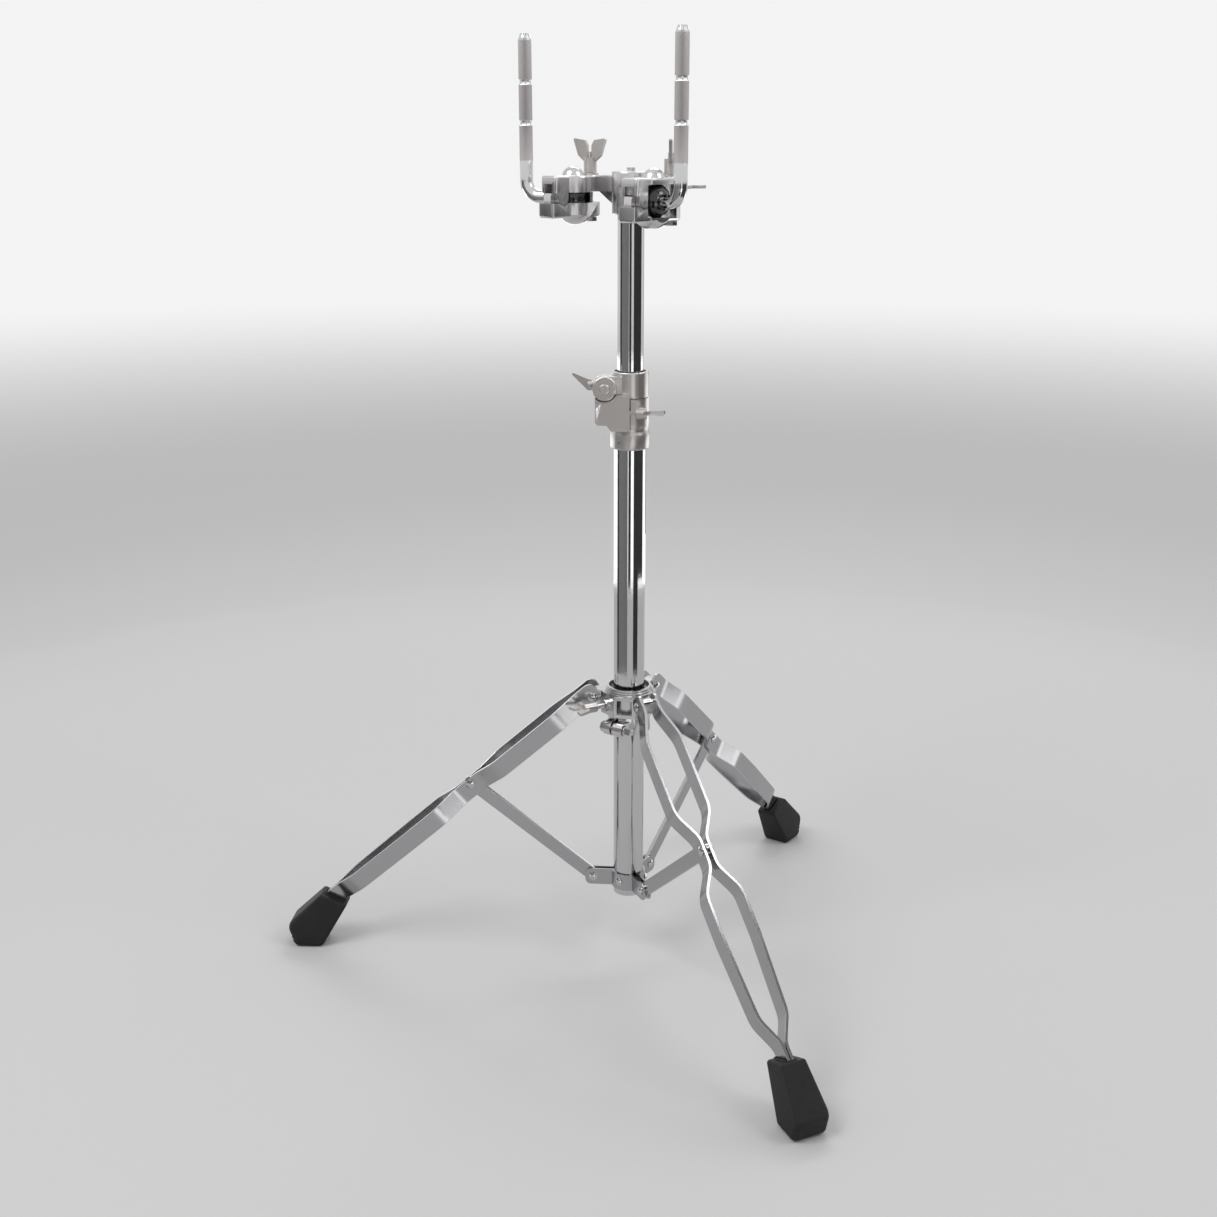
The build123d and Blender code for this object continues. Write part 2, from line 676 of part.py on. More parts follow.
with BuildPart() as collar_wing_screw:
    with BuildSketch(local_plane(collar_screw_azimuth, base_tube_radius + side_clearance, 0, collar_screw_height, "out")):
        Circle(bolt_diameter / 2)
    extrude(amount=collar_screw_boss_reach + 10 - base_tube_radius)
    wing(local_plane(collar_screw_azimuth, collar_screw_boss_reach + 9, 0, collar_screw_height, "out"), 13.0, 25.0, 5.0, 14.0)
finish(collar_wing_screw.part, "collar_wing_screw")

# ================================================================ height joint
socket_radius = base_tube_radius + seat_clearance
joint_bore = upper_tube_radius + open_clearance
with BuildPart() as joint_casting:
    with BuildSketch(Plane.XZ):
        with BuildLine():
            Polyline(
                (0, joint_bottom),
                (joint_sleeve_radius, joint_bottom),
                (joint_sleeve_radius, joint_sleeve_top),
                (joint_body_radius - 1.2, joint_sleeve_top + 5),
                (joint_body_radius, joint_sleeve_top + 11),
                (joint_body_radius, joint_top),
                (0, joint_top),
                (0, joint_bottom),
            )
        make_face()
    revolve(axis=Axis.Z)
    chamfer(joint_casting.edges().filter_by(GeomType.CIRCLE).group_by(Axis.Z)[0], 1.2)
    with BuildSketch(local_plane(joint_azimuth, 0, 0, 0, "out")):
        with BuildLine():
            Polyline(
                (0, joint_block_bottom - 6),
                (-joint_body_radius + 1, joint_block_bottom - 6),
                (-joint_body_radius - 4, joint_block_bottom),
                (-joint_block_width, joint_block_bottom),
                (-joint_block_width, joint_block_top),
                (0, joint_block_top),
                (0, joint_block_bottom - 6),
            )
        make_face()
    extrude(amount=joint_block_reach)
    block_corner = joint_casting.edges().filter_by(
        lambda e: abs(e.length - joint_block_reach) < 0.01 and e.center().Z < joint_block_bottom + 1
    )
    fillet(block_corner.sort_by(Axis(Vector(0, 0, 0), local_plane(joint_azimuth, 0, 0, 0).y_dir))[0], 4.0)
    with BuildSketch(local_plane(joint_azimuth, 0, joint_ear_width / 2, joint_block_bottom)):
        with Locations((joint_block_reach / 2 - 0.5, 0)):
            Rectangle(joint_block_reach - 1, joint_ear_width)
    extrude(amount=joint_top - joint_block_bottom)
    with BuildSketch(Plane.XY.offset(joint_bottom)):
        Circle(socket_radius)
    extrude(amount=joint_tube_stop + joint_bush_flange - joint_bottom, mode=Mode.SUBTRACT)
    with BuildSketch(Plane.XY.offset(joint_bottom)):
        Circle(joint_bore)
    extrude(amount=joint_block_top - joint_bottom + 1, mode=Mode.SUBTRACT)
    with BuildSketch(Plane.XY.offset(joint_top)):
        Circle(lock_radius + open_clearance)
    extrude(amount=lock_height, mode=Mode.SUBTRACT)
    with BuildSketch(local_plane(joint_azimuth, 0, -barrel_side, barrel_height, "out")):
        Circle(barrel_radius + open_clearance)
    extrude(amount=joint_block_reach + 1, mode=Mode.SUBTRACT)
    with BuildSketch(local_plane(joint_azimuth, joint_block_reach / 2 + 1, 0, joint_sleeve_top + 7)):
        Rectangle(joint_block_reach + 2, joint_slot)
    extrude(amount=joint_block_top, mode=Mode.SUBTRACT)
    pinch_plane = local_plane(joint_azimuth, joint_bolt_reach, 0, joint_bolt_height, "across")
    with BuildSketch(pinch_plane):
        Circle(bolt_diameter / 2 + turn_clearance)
    extrude(amount=joint_block_width + 1, both=True, mode=Mode.SUBTRACT)
    with BuildSketch(pinch_plane.offset(joint_block_width - nut_thickness - 1)):
        RegularPolygon(nut_width / 2 + seat_clearance, 6, major_radius=False)
    extrude(amount=nut_thickness + 2, mode=Mode.SUBTRACT)
    drain_height = joint_bottom + joint_drain_lift
    drain_start = socket_radius + (joint_sleeve_radius - socket_radius) / 4
    with BuildSketch(local_plane(joint_azimuth + joint_drain_turn, drain_start, 0, drain_height, "out")):
        Circle(joint_drain_radius)
    extrude(amount=joint_sleeve_radius, mode=Mode.SUBTRACT)
finish(joint_casting.part, "joint_casting")

with BuildPart() as joint_nut:
    hex_nut(pinch_plane.offset(joint_block_width - nut_thickness - 1), bolt_diameter / 2 + turn_clearance)
finish(joint_nut.part, "joint_nut")

with BuildPart() as joint_bush:
    with BuildSketch(Plane.XY.offset(joint_tube_stop - joint_bush_length)):
        Circle(base_tube_radius - base_tube_wall - seat_clearance)
    extrude(amount=joint_bush_length)
    with BuildSketch(Plane.XY.offset(joint_tube_stop)):
        Circle(socket_radius - 2 * seat_clearance)
    extrude(amount=joint_bush_flange)
    with BuildSketch(Plane.XY.offset(joint_tube_stop - joint_bush_length)):
        Circle(upper_tube_radius + slide_clearance)
    extrude(amount=joint_bush_length + joint_bush_flange, mode=Mode.SUBTRACT)
finish(joint_bush.part, "joint_bush")

with BuildPart() as joint_wing_bolt:
    head_plane = pinch_plane.offset(-joint_ear_width - side_clearance)
    with BuildSketch(head_plane):
        Circle(bolt_diameter / 2)
    extrude(amount=joint_ear_width + joint_block_width)
    turned = Plane(origin=head_plane.origin, x_dir=head_plane.x_dir + head_plane.y_dir * 0.25, z_dir=head_plane.z_dir * -1)
    wing(turned, 15.0, 28.5, 5.5, 11.0)
finish(joint_wing_bolt.part, "joint_wing_bolt")

# ================================================================= memory lock
lock_bore = upper_tube_radius + slide_clearance
barrel_plane = local_plane(joint_azimuth, barrel_back, -barrel_side, barrel_height, "out")
barrel_length = barrel_reach - barrel_back
with BuildPart() as memory_lock:
    with BuildSketch(Plane.XY.offset(lock_bottom)):
        Circle(lock_radius)
    extrude(amount=lock_height)
    fillet(memory_lock.edges().filter_by(GeomType.CIRCLE).group_by(Axis.Z)[-1], 1.2)
    web_bottom = joint_block_top + side_clearance
    with BuildSketch(local_plane(joint_azimuth, 0, 0, web_bottom)):
        with BuildLine():
            Polyline(
                (-2, -lock_radius + 2),
                (barrel_back, -barrel_side - 7),
                (barrel_reach - 7, -barrel_side - 7),
                (lock_radius - 2, -3),
                (-2, -lock_radius + 2),
            )
        make_face()
    extrude(amount=barrel_height + barrel_radius - 1 - web_bottom)
    with BuildSketch(barrel_plane):
        Circle(barrel_radius)
    extrude(amount=barrel_length - 2 * barrel_step)
    fillet(memory_lock.faces().sort_by(Axis(barrel_plane.origin, barrel_plane.z_dir))[-1].edges(), 1.5)
    with BuildSketch(barrel_plane):
        Circle(barrel_ring_radius)
    extrude(amount=barrel_length - barrel_step)
    with BuildSketch(Plane.XY.offset(lock_bottom + lock_height - lock_lip_depth)):
        Circle(lock_radius - lock_lip_wall)
    extrude(amount=lock_lip_depth, mode=Mode.SUBTRACT)
    with BuildSketch(Plane.XY.offset(lock_bottom - 3)):
        Circle(lock_bore)
    extrude(amount=lock_height + 6, mode=Mode.SUBTRACT)
    with BuildSketch(local_plane(joint_azimuth + lock_slot_turn, lock_radius, 0, lock_bottom)):
        Rectangle(3, lock_slot)
    extrude(amount=lock_height, mode=Mode.SUBTRACT)
    with BuildSketch(barrel_plane):
        Circle(barrel_hub_radius + seat_clearance)
    extrude(amount=barrel_length, mode=Mode.SUBTRACT)
    screw_plane = local_plane(joint_azimuth, lock_screw_out, -barrel_side, barrel_height + lock_screw_lift, "across")
    with BuildSketch(screw_plane.offset(barrel_hub_radius + seat_clearance)):
        Circle(bolt_diameter / 2 + turn_clearance)
    extrude(amount=barrel_radius, mode=Mode.SUBTRACT)
finish(memory_lock.part, "memory_lock")

with BuildPart() as lock_barrel_pin:
    with BuildSketch(barrel_plane):
        Circle(barrel_hub_radius)
    extrude(amount=barrel_length)
    chamfer(lock_barrel_pin.edges().filter_by(GeomType.CIRCLE), 0.6)
finish(lock_barrel_pin.part, "lock_barrel_pin")

thumb_side = barrel_radius + side_clearance
with BuildPart() as lock_thumb_screw:
    with BuildSketch(screw_plane.offset(barrel_hub_radius + side_clearance)):
        Circle(bolt_diameter / 2)
    extrude(amount=thumb_side - barrel_hub_radius)
    with BuildSketch(screw_plane.offset(thumb_side)):
        Circle(5.0)
    extrude(amount=4.0)
    with BuildSketch(local_plane(joint_azimuth, lock_screw_out, -barrel_side - thumb_side, screw_plane.origin.Z, "out")):
        with BuildLine():
            Polyline((0, -5), (0, 5), (-6, 7), (-18, 12), (-19.5, 10.5), (-11, 2), (-4, -5), (0, -5))
        make_face()
    extrude(amount=thumb_blade_thickness / 2, both=True)
finish(lock_thumb_screw.part, "lock_thumb_screw")

# ========================================================================= yoke
half_spacing = clamp_spacing / 2
tube_socket = upper_tube_radius + slide_clearance
hub_bolt_plane = local_plane(clamp_azimuth, -hub_bolt_reach, 0, hub_bolt_height, "across")
ear_face = hub_slot / 2 + hub_ear_width


def jaw_outline(hand, height, extra_reach=0.0):
    """Plan of one jaw: round end for the bolt, broad over the ball, narrow lug in front."""
    centre = hand * half_spacing
    lug_length = lug_reach + extra_reach - ball_reach
    with BuildSketch(local_plane(clamp_azimuth, 0, 0, height)) as plan:
        with Locations((clamp_bolt_reach, centre)):
            Circle(jaw_end_radius)
        with Locations((ball_reach, centre)):
            Circle(jaw_wall_inner)
        make_hull()
        with Locations((ball_reach + lug_length / 2, centre)):
            RectangleRounded(lug_length, lug_width, lug_corner)
        with Locations((ball_reach, centre + hand * (jaw_wall_outer + ball_radius))):
            Rectangle(2 * lug_reach, 2 * ball_radius, mode=Mode.SUBTRACT)
    return plan.sketch


def ball_pocket(hand):
    """Round seat for the ball, open on the outer side between its two lips."""
    seat = local_plane(clamp_azimuth, ball_reach, hand * half_spacing, ball_height)
    with Locations(seat):
        Sphere(ball_radius + ball_clearance, mode=Mode.SUBTRACT)
    opening = local_plane(clamp_azimuth, ball_reach, hand * (half_spacing + ball_radius + 4), ball_height)
    with Locations(opening):
        Box(2 * jaw_wall_inner, 2 * ball_radius, 2 * jaw_opening_radius, mode=Mode.SUBTRACT)


with BuildPart() as yoke_casting:
    with BuildSketch(Plane.XY.offset(hub_bottom)):
        Circle(hub_radius)
    extrude(amount=hub_top - hub_bottom)
    fillet(yoke_casting.edges().filter_by(GeomType.CIRCLE), 1.5)
    with BuildSketch(Plane.XY.offset(hub_top)):
        Circle(hub_boss_radius)
    extrude(amount=hub_boss_height)
    with BuildSketch(local_plane(clamp_azimuth, 0, 0, bar_bottom)):
        Rectangle(bar_thickness, clamp_spacing)
    extrude(amount=bar_top - bar_bottom)
    with BuildSketch(local_plane(clamp_azimuth, 0, 0, 0, "out")):
        with BuildLine():
            Polyline(
                (-gusset_start, gusset_bottom),
                (gusset_start, gusset_bottom),
                (gusset_end, bar_bottom + 1),
                (-gusset_end, bar_bottom + 1),
                (-gusset_start, gusset_bottom),
            )
        make_face()
    extrude(amount=bar_thickness / 2 - 1, both=True)
    for hand in (-1, 1):
        with BuildPart() as jaw_body:
            extrude(jaw_outline(hand, upper_jaw_bottom), amount=bar_top - upper_jaw_bottom)
            fillet(jaw_body.edges().group_by(Axis.Z)[-1], upper_jaw_round)
        add(jaw_body.part)
        centre = hand * half_spacing
        with Locations(local_plane(clamp_azimuth, ball_reach, centre, bar_top - dome_sink)):
            Sphere(dome_radius)
        with BuildSketch(local_plane(clamp_azimuth, clamp_bolt_reach, centre, bar_top)):
            Circle(jaw_end_radius - 1)
        extrude(amount=wing_nut_seat - side_clearance - bar_top)
        for cheek_side in (centre - window_width / 2, centre + lug_width / 2):
            with BuildSketch(local_plane(clamp_azimuth, 0, cheek_side, 0, "across")):
                with Locations((jaw_pin_reach, jaw_pin_height)):
                    Circle(cheek_radius)
                with Locations((jaw_pin_reach, (jaw_pin_height + upper_jaw_bottom + 1) / 2)):
                    Rectangle(2 * cheek_radius, upper_jaw_bottom + 1 - jaw_pin_height)
            extrude(amount=(lug_width - window_width) / 2)
        window_start = jaw_pin_reach - cheek_radius - 1
        with BuildSketch(local_plane(clamp_azimuth, (window_start + lug_reach) / 2, centre, upper_jaw_bottom)):
            Rectangle(lug_reach - window_start + 0.01, window_width)
        extrude(amount=window_top - upper_jaw_bottom, mode=Mode.SUBTRACT)
        ball_pocket(hand)
        with BuildSketch(local_plane(clamp_azimuth, clamp_bolt_reach, centre, upper_jaw_bottom)):
            Circle(bolt_diameter / 2 + turn_clearance)
        extrude(amount=wing_nut_seat - upper_jaw_bottom, mode=Mode.SUBTRACT)
        with BuildSketch(local_plane(clamp_azimuth, 0, centre, 0, "across")):
            with Locations((jaw_pin_reach, jaw_pin_height)):
                Circle(jaw_pin_diameter / 2 + seat_clearance)
        extrude(amount=lug_width, both=True, mode=Mode.SUBTRACT)
    with BuildSketch(local_plane(clamp_azimuth, -hub_ear_reach / 2, 0, hub_ear_bottom)):
        Rectangle(hub_ear_reach, 2 * ear_face)
    extrude(amount=hub_ear_top - hub_ear_bottom)
    ear_ends = yoke_casting.edges().filter_by(
        lambda e: abs(e.length - 2 * ear_face) < 0.01 and e.center().Z < hub_ear_top + 0.1
    )
    fillet(ear_ends.sort_by(Axis((0, 0, 0), local_plane(clamp_azimuth, 0, 0, 0).x_dir))[:2], 5.0)
    with BuildSketch(Plane.XY.offset(hub_bottom)):
        Circle(tube_socket)
    extrude(amount=hub_top - hub_cap_thickness - hub_bottom, mode=Mode.SUBTRACT)
    with BuildSketch(local_plane(clamp_azimuth, -hub_ear_reach / 2 - 1, 0, hub_bottom)):
        Rectangle(hub_ear_reach + 2, hub_slot)
    extrude(amount=hub_top - hub_cap_thickness - hub_bottom, mode=Mode.SUBTRACT)
    with BuildSketch(local_plane(clamp_azimuth, -hub_ear_reach / 2 - hub_radius, 0, hub_bottom)):
        Rectangle(hub_ear_reach, hub_slot)
    extrude(amount=hub_top, mode=Mode.SUBTRACT)
    with BuildSketch(hub_bolt_plane):
        Circle(bolt_diameter / 2 + turn_clearance)
    extrude(amount=2 * ear_face, both=True, mode=Mode.SUBTRACT)
    with BuildSketch(local_plane(set_screw_azimuth, 0, 0, set_screw_height, "out")):
        Circle(set_screw_diameter / 2 + seat_clearance)
    extrude(amount=hub_radius + 1, mode=Mode.SUBTRACT)
finish(yoke_casting.part, "yoke_casting")

with BuildPart() as hub_set_screw:
    with BuildSketch(local_plane(set_screw_azimuth, tube_socket + side_clearance, 0, set_screw_height, "out")):
        Circle(set_screw_diameter / 2)
    extrude(amount=hub_radius - tube_socket - side_clearance - 0.4)
    with BuildSketch(local_plane(set_screw_azimuth, hub_radius - 2.4, 0, set_screw_height, "out")):
        RegularPolygon(1.5, 6)
    extrude(amount=2.4, mode=Mode.SUBTRACT)
finish(hub_set_screw.part, "hub_set_screw")

with BuildPart() as hub_wing_bolt:
    with BuildSketch(hub_bolt_plane.offset(-hub_bolt_shank)):
        Circle(bolt_diameter / 2)
    extrude(amount=hub_bolt_shank + ear_face + nut_thickness + 1)
    with BuildSketch(hub_bolt_plane.offset(-ear_face - side_clearance)):
        Circle(nut_width / 2)
    extrude(amount=-2.0)
    reach_plane = local_plane(clamp_azimuth, -hub_bolt_reach, hub_bolt_shank, hub_bolt_height)
    outward_plane = Plane(origin=reach_plane.origin, x_dir=reach_plane.x_dir, z_dir=reach_plane.y_dir)
    wing(outward_plane, 14.0, 28.5, 5.5, 12.0)
finish(hub_wing_bolt.part, "hub_wing_bolt")

with BuildPart() as hub_nut:
    hex_nut(hub_bolt_plane.offset(ear_face), bolt_diameter / 2 + turn_clearance)
finish(hub_nut.part, "hub_nut")

for hand, side in ((-1, "left"), (1, "right")):
    centre = hand * half_spacing
    with BuildPart() as lower_jaw:
        lower_plan = jaw_outline(hand, lower_jaw_bottom, lower_lug_extra_reach)
        extrude(lower_plan, amount=lower_jaw_top - lower_jaw_bottom)
        fillet(lower_jaw.edges().group_by(Axis.Z)[0], lower_jaw_round)
        with BuildPart() as bulge:
            bulge_centre = lower_jaw_bottom - bulge_depth + bulge_radius
            bulge_side = hand * (half_spacing - bulge_inset)
            with Locations(local_plane(clamp_azimuth, ball_reach, bulge_side, bulge_centre)):
                Sphere(bulge_radius)
            bulge_middle = centre + hand * (jaw_wall_outer - 2 * ball_radius)
            with BuildSketch(local_plane(clamp_azimuth, ball_reach, bulge_middle, lower_jaw_bottom - bulge_depth)):
                Rectangle(4 * ball_radius, 4 * ball_radius)
            extrude(amount=bulge_depth + lower_jaw_round, mode=Mode.INTERSECT)
        add(bulge.part)
        ball_pocket(hand)
        for cheek_side in (centre - window_width / 2 + side_clearance, centre + lug_width / 2 + 1):
            with BuildSketch(local_plane(clamp_azimuth, 0, cheek_side, 0, "across")):
                with Locations((jaw_pin_reach, jaw_pin_height)):
                    Circle(cheek_radius + open_clearance)
            extrude(amount=(lug_width - window_width) / 2 + 1, mode=Mode.SUBTRACT)
        with BuildSketch(local_plane(clamp_azimuth, 0, centre, 0, "across")):
            with BuildLine():
                Polyline(
                    (jaw_pin_reach - cheek_radius, lower_jaw_top - 2),
                    (lug_reach + tab_proud, lower_jaw_top - 2),
                    (lug_reach + tab_proud, window_bottom - side_clearance - tab_round),
                    (lug_reach + tab_proud - tab_round * 0.3, window_bottom - side_clearance - tab_round * 0.3),
                    (lug_reach + tab_proud - tab_round, window_bottom - side_clearance),
                    (jaw_pin_reach - cheek_radius + 3, window_bottom - side_clearance),
                    (jaw_pin_reach - cheek_radius, jaw_pin_height + 2),
                    (jaw_pin_reach - cheek_radius, lower_jaw_top - 2),
                )
            make_face()
        extrude(amount=window_width / 2 - side_clearance, both=True)
        with BuildSketch(local_plane(clamp_azimuth, 0, centre, 0, "across")):
            with Locations((jaw_pin_reach, jaw_pin_height)):
                Circle(jaw_pin_diameter / 2 + turn_clearance)
        extrude(amount=lug_width, both=True, mode=Mode.SUBTRACT)
        with BuildSketch(local_plane(clamp_azimuth, clamp_bolt_reach, centre, lower_jaw_bottom)):
            Circle(bolt_diameter / 2 + clamp_bolt_play)
        extrude(amount=lower_jaw_top - lower_jaw_bottom, mode=Mode.SUBTRACT)
    finish(lower_jaw.part, f"lower_jaw_{side}")

    with BuildPart() as jaw_pin:
        with BuildSketch(local_plane(clamp_azimuth, jaw_pin_reach, centre, jaw_pin_height, "across")):
            Circle(jaw_pin_diameter / 2)
        extrude(amount=lug_width / 2, both=True)
    finish(jaw_pin.part, f"jaw_pin_{side}")

    bolt_head_top = lower_jaw_bottom - clamp_bolt_seat_gap
    with BuildPart() as clamp_bolt:
        bolt_base = local_plane(clamp_azimuth, clamp_bolt_reach, centre, bolt_head_top - clamp_bolt_head_thickness)
        with BuildSketch(bolt_base):
            RegularPolygon(clamp_bolt_head / 2, 6, major_radius=False)
        extrude(amount=clamp_bolt_head_thickness)
        with BuildSketch(bolt_base):
            Circle(bolt_diameter / 2)
        extrude(amount=clamp_bolt_top - bolt_base.origin.Z)
        chamfer(clamp_bolt.edges().group_by(Axis.Z)[-1], 0.6)
    finish(clamp_bolt.part, f"clamp_bolt_{side}")

    with BuildPart() as wing_nut:
        nut_plane = local_plane(clamp_azimuth + wing_nut_turn[side], 0, 0, 0)
        seat_point = local_plane(clamp_azimuth, clamp_bolt_reach, centre, wing_nut_seat).origin
        nut_seat = Plane(origin=seat_point, x_dir=nut_plane.x_dir, z_dir=(0, 0, 1))
        wing(nut_seat, wing_nut_half_span, wing_nut_height, 6.2, 14.0)
        with BuildSketch(Plane.XY.offset(wing_nut_seat)):
            with Locations((seat_point.X, seat_point.Y)):
                Circle(bolt_diameter / 2 + turn_clearance)
        extrude(amount=wing_nut_height, mode=Mode.SUBTRACT)
    finish(wing_nut.part, f"wing_nut_{side}")

# ================================================================ balls and arms
for hand, side in ((-1, "left"), (1, "right")):
    arm_azimuth, arm_reach, arm_overlap = arm_legs[side]
    ball_centre = local_plane(clamp_azimuth, ball_reach, hand * half_spacing, ball_height).origin
    leg_direction = local_plane(arm_azimuth, 0, 0, 0).x_dir
    leg_plane = Plane(origin=ball_centre, x_dir=(0, 0, 1), z_dir=leg_direction)
    with BuildPart() as ball:
        with Locations(leg_plane):
            Sphere(ball_radius)
        with BuildSketch(leg_plane):
            Circle(rod_diameter / 2 + slide_clearance)
        extrude(amount=ball_radius, both=True, mode=Mode.SUBTRACT)
    finish(ball.part, f"ball_{side}")

    arm_side = local_plane(arm_azimuth, 0, 0, 0, "across")
    arm_plane = Plane(origin=ball_centre, x_dir=arm_side.x_dir, z_dir=arm_side.z_dir)
    with BuildPart() as arm:
        with BuildLine(arm_plane):
            FilletPolyline((-arm_overlap, 0), (arm_reach, 0), (arm_reach, post_top - ball_height), radius=bend_radius)
        with BuildSketch(leg_plane.offset(-arm_overlap)):
            Circle(rod_diameter / 2)
        sweep()
        tip_edge = arm.edges().group_by(Axis.Z)[-1]
        chamfer(tip_edge, post_tip_length, (rod_diameter - post_tip_diameter) / 2, reference=arm.faces().filter_by(GeomType.CYLINDER).sort_by(Axis.Z)[-1])
        post = ball_centre + leg_direction * arm_reach
        for height in groove_heights:
            with BuildSketch(Plane.XY.offset(height - groove_width / 2)):
                with Locations((post.X, post.Y)):
                    Circle(rod_diameter)
                    Circle(rod_diameter / 2 - groove_depth, mode=Mode.SUBTRACT)
            extrude(amount=groove_width, mode=Mode.SUBTRACT)
    finish(arm.part, f"arm_{side}")
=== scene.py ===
import json
import math
import bmesh
import bpy
import numpy as np
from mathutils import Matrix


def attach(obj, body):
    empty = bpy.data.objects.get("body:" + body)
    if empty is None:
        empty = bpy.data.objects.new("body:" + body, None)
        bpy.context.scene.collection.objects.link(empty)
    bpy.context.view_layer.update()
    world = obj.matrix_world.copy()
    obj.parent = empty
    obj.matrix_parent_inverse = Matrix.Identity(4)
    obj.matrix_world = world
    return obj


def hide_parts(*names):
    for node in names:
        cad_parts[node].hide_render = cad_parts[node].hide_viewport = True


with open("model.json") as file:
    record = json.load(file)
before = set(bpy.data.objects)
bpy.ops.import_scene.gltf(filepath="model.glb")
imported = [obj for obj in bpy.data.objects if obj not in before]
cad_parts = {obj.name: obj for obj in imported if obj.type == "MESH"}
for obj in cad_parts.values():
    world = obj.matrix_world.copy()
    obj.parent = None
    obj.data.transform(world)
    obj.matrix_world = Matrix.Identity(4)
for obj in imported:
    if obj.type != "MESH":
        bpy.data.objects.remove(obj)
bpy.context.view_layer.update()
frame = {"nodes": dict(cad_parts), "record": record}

MM = 0.001
SMOOTH_ANGLE = math.radians(32)
MERGE_DISTANCE = 0.000004  # metres

# ---------------------------------------------------------------- shader maths


class Num:
    """A number or a shader socket; arithmetic on it adds the Math nodes that work it out."""

    def __init__(self, graph, socket):
        self.graph = graph
        self.socket = socket

    def _math(self, operation, first, second=None):
        values = {0: first}
        if second is not None:
            values[1] = second
        return self.graph.add("ShaderNodeMath", {"operation": operation}, values)

    def __add__(self, other):
        return self._math("ADD", self, other)

    def __radd__(self, other):
        return self._math("ADD", other, self)

    def __sub__(self, other):
        return self._math("SUBTRACT", self, other)

    def __rsub__(self, other):
        return self._math("SUBTRACT", other, self)

    def __mul__(self, other):
        return self._math("MULTIPLY", self, other)

    def __rmul__(self, other):
        return self._math("MULTIPLY", other, self)

    def __gt__(self, other):
        return self._math("GREATER_THAN", self, other)

    def __lt__(self, other):
        return self._math("LESS_THAN", self, other)

    def between(self, low, high):
        """1 from low to high, 0 elsewhere."""
        return (self > low) * (self < high)


class Finish:
    """One material: a Principled shader and the nodes that feed it."""

    def __init__(self, name, colour, metallic, roughness, coat=0.0):
        self.material = bpy.data.materials.new(name)
        self.material.use_nodes = True
        self.tree = self.material.node_tree
        self.shader = self.tree.nodes["Principled BSDF"]
        self.shader.inputs["Base Color"].default_value = (*colour, 1)
        self.shader.inputs["Metallic"].default_value = metallic
        self.shader.inputs["Roughness"].default_value = roughness
        self.shader.inputs["Coat Weight"].default_value = coat

    def add(self, kind, settings=None, values=None, output=0):
        """Add a node: its settings first, then the values or links of its sockets."""
        node = self.tree.nodes.new(kind)
        for key, value in (settings or {}).items():
            setattr(node, key, value)
        for key, value in (values or {}).items():
            if isinstance(value, Num):
                self.tree.links.new(value.socket, node.inputs[key])
            else:
                node.inputs[key].default_value = value
        return Num(self, node.outputs[output])

    def place(self):
        """Position on the object, in the object's own coordinates."""
        return self.add("ShaderNodeTexCoord", output=3)

    def noise(self, scale, detail=2.0):
        """Soft noise from 0 to 1, with that many waves to the metre."""
        values = {"Vector": self.place(), "Scale": scale, "Detail": detail}
        return self.add("ShaderNodeTexNoise", None, values)

    def height(self):
        """Height above the floor, in millimetres."""
        return self.add("ShaderNodeSeparateXYZ", None, {"Vector": self.place()}, output=2) * (1 / MM)

    def blend(self, mask, first, second):
        """Colour that goes from first to second as the mask goes from 0 to 1."""
        settings = {"data_type": "RGBA"}
        values = {0: mask, 6: (*first, 1), 7: (*second, 1)}
        return self.add("ShaderNodeMix", settings, values, output=2)

    def feed(self, socket, value):
        """Link the value to one of the shader's sockets."""
        self.tree.links.new(value.socket, self.shader.inputs[socket])

    def bump(self, height, distance, strength=1.0):
        """Relief of that distance in metres."""
        values = {"Height": height, "Distance": distance, "Strength": strength}
        self.feed("Normal", self.add("ShaderNodeBump", None, values))


HAZE_WAVES = 90
RIPPLE_WAVES = 160
SAND_WAVES = 900
SAND_SPREAD = 0.2
SAND_DEPTH = 0.00006
DUST_WAVES = 60
SKIN_WAVES = 1400
SKIN_DEPTH = 0.00008


def chrome_finish(name, colour, roughness, haze=0.05, ripple=0.00002):
    """Plated metal: fine haze in the polish and a faint ripple of the plating."""
    finish = Finish(name, colour, 1.0, roughness)
    haze_mask = finish.noise(HAZE_WAVES, 3)
    finish.feed("Roughness", haze_mask * haze + (roughness - haze / 2))
    finish.bump(finish.noise(RIPPLE_WAVES, 1), ripple)
    return finish.material


def satin_finish(name, colour, roughness):
    """Dull plating over a sand-cast skin."""
    finish = Finish(name, colour, 1.0, roughness)
    grain = finish.noise(SAND_WAVES, 2)
    finish.feed("Roughness", grain * SAND_SPREAD + (roughness - SAND_SPREAD / 2))
    finish.bump(grain, SAND_DEPTH)
    return finish.material


def rod_finish(name):
    """Chromed rod: bright bends, posts dulled by their knurling, bright grooves between."""
    finish = Finish(name, (0.5, 0.5, 0.51), 1.0, 0.1)
    height = finish.height()
    knurl = height.between(KNURL_START, GROOVES[0] - GROOVE_HALF)
    knurl = knurl + height.between(GROOVES[0] + GROOVE_HALF, GROOVES[1] - GROOVE_HALF)
    knurl = knurl + height.between(GROOVES[1] + GROOVE_HALF, POST_TOP - TIP_LENGTH)
    finish.feed("Base Color", finish.blend(knurl, (0.62, 0.62, 0.63), (0.44, 0.42, 0.42)))
    finish.feed("Roughness", knurl * 0.22 + 0.1)
    return finish.material


